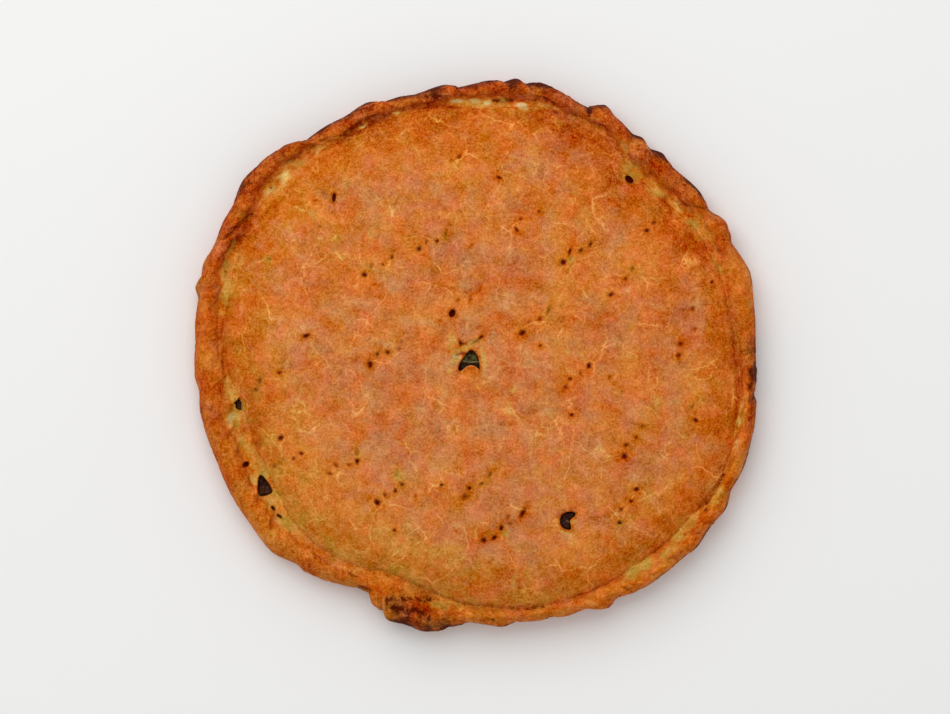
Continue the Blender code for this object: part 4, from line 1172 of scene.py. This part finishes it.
def filling_material(slot, tones):
    """Return moist, finely chopped filling with a wet sheen, painted shade between its morsels and where
    the dough shades it, and pale strands with a painted glint.
    """
    morsel, shade, fleck = tones
    material, tree, shader, place = new_material(slot)
    cells = added(tree, "TexVoronoi", {"Vector": place, "Scale": 1 / (2.2 * MM)})
    # Painted shade in the gaps between morsels.
    seam_shade = eased(tree, cells.outputs["Distance"], 0.35, 0.8)
    colour = blended(tree, seam_shade, tone(morsel), tone(shade))
    strand = eased(tree, grain(tree, place, 1.6 * MM, 3.0, 0.6), 0.14, 0.22, 0.0, 0.6)
    colour = blended(tree, strand, colour, tone(fleck))
    # Painted shade where the dough's edge hangs over the filling, and over most of the side vent's.
    colour = blended(tree, kept_value(tree, "lit"), tone(shade), colour)
    colour = blended(tree, kept_value(tree, "pale"), colour, tone(fleck))
    relief = sum_of(tree, (cells.outputs["Distance"], -1.0), (strand, 0.3))
    finish_material(tree, shader, colour, relief, FILLING_RELIEF, 0.8)
    shader.inputs["Roughness"].default_value = 0.45
    shader.inputs["Specular IOR Level"].default_value = 0.12
    return material


def filling_heap(node, outline):
    """Return a heap of filling that fills an opening of this outline."""
    low, high = (np.array(corner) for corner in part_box(node))
    middle = (low + high) / 2
    nothing_selected()
    bpy.ops.mesh.primitive_grid_add(x_subdivisions=FILLING_ROWS, y_subdivisions=FILLING_ROWS, size=1)
    heap = bpy.context.object
    heap.name = node + "_heap"
    points = points_of(heap)
    points[:, :2] = points[:, :2] * (high - low)[:2] + middle[:2]
    place_points(heap, points)
    edit_faces(heap, depth_inside(face_middles(heap), outline) < 0)
    bpy.ops.mesh.delete(type="FACE")
    bpy.ops.mesh.select_all(action="SELECT")
    bpy.ops.mesh.extrude_region_move(TRANSFORM_OT_translate={"value": (0, 0, -BLANK_THICKNESS)})
    face_outwards()
    points = points_of(heap)
    under = points[:, 2] < -BLANK_THICKNESS / 2
    lumps = 0.5 * waves(points, 2.6 * MM, 41) + 0.25 * waves(points, 1.2 * MM, 42)
    top = high[2] - HEAP_DROP + lumps * MM
    inside = depth_inside(points, outline)
    lit = soft_step(0.0, 1.2 * MM, inside)
    if node == "filling_centre_vent":
        middle_y, half_width = CENTRE_LIT
        lit *= hill(points[:, 1] - CENTRED[1] - middle_y * MM, half_width * MM)
    top -= EDGE_DROP * (1 - lit)
    if node == "filling_side_vent":
        lit *= SIDE_LIT
    points[:, 2] = np.where(under, low[2] + HEAP_BASE, top)
    place_points(heap, points)
    pale = np.zeros(len(points))
    if node in GLINTS:
        width, line = GLINTS[node]
        gap, _ = to_line(points[:, :2], plan(line))
        # A pale strand in the centre vent, a painted glint in the side vent.
        pale = 0.8 * hill(gap, width * MM)
    keep(heap, lit=lit, pale=pale)
    return heap


for slot, nodes, tones in FILLINGS:
    moist = filling_material(slot, tones)
    for node in nodes:
        heap = filling_heap(node, torn_outline((VENTS | RIM_GAPS)[node]))
        bpy.ops.object.shade_smooth()
        heap.data.materials.append(moist)
        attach(heap, "root")
        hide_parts(node)

# The stage: a pale floor, a large soft light beyond the pie and an even glow all round it. The
# camera looks straight down, from so far that the pie's sides hardly show.
FLOOR_SIZE = 6.0
FLOOR_DROP = 0.2 * MM  # below the pie's base
FLOOR_PAINT = (0.92, 0.92, 0.91, 1)
CAMERA_HEIGHT = 6.0
SENSOR_WIDTH = 36.0
VIEW_WIDTH = 556.8 * MM
VIEW_MIDDLE = (-0.29 * MM, -1.17 * MM)
SOFTBOX_POWER = 34
SOFTBOX_SIZE = 2.4
SOFTBOX_PLACE = (-0.6, 1.4, 2.0)
ROOM_LIGHT = 0.60
nothing_selected()
bpy.ops.mesh.primitive_plane_add(size=FLOOR_SIZE, location=(0, 0, -FLOOR_DROP))
floor = bpy.context.object
floor.name = "floor"
floor_paint = bpy.data.materials.new("floor_paint")
floor_paint.use_nodes = True
shader = floor_paint.node_tree.nodes["Principled BSDF"]
shader.inputs["Base Color"].default_value = FLOOR_PAINT
shader.inputs["Roughness"].default_value = 0.9
floor.data.materials.append(floor_paint)

camera_data = bpy.data.cameras.new("camera")
camera_data.sensor_width = SENSOR_WIDTH
camera_data.lens = camera_data.sensor_width * CAMERA_HEIGHT / VIEW_WIDTH
camera = bpy.data.objects.new("camera", camera_data)
camera.location = (*VIEW_MIDDLE, CAMERA_HEIGHT + WIDEST_HEIGHT)
bpy.context.scene.collection.objects.link(camera)
bpy.context.scene.camera = camera

light_data = bpy.data.lights.new("softbox", "AREA")
light_data.energy = SOFTBOX_POWER
light_data.size = SOFTBOX_SIZE
light = bpy.data.objects.new("softbox", light_data)
light.location = SOFTBOX_PLACE
light.rotation_euler = (-light.location).to_track_quat("-Z", "Y").to_euler()
light.visible_camera = False
bpy.context.scene.collection.objects.link(light)
world = bpy.data.worlds.new("studio")
bpy.context.scene.world = world
world.use_nodes = True
glow = world.node_tree.nodes["Background"]
glow.inputs["Color"].default_value = (1, 1, 1, 1)
glow.inputs["Strength"].default_value = ROOM_LIGHT
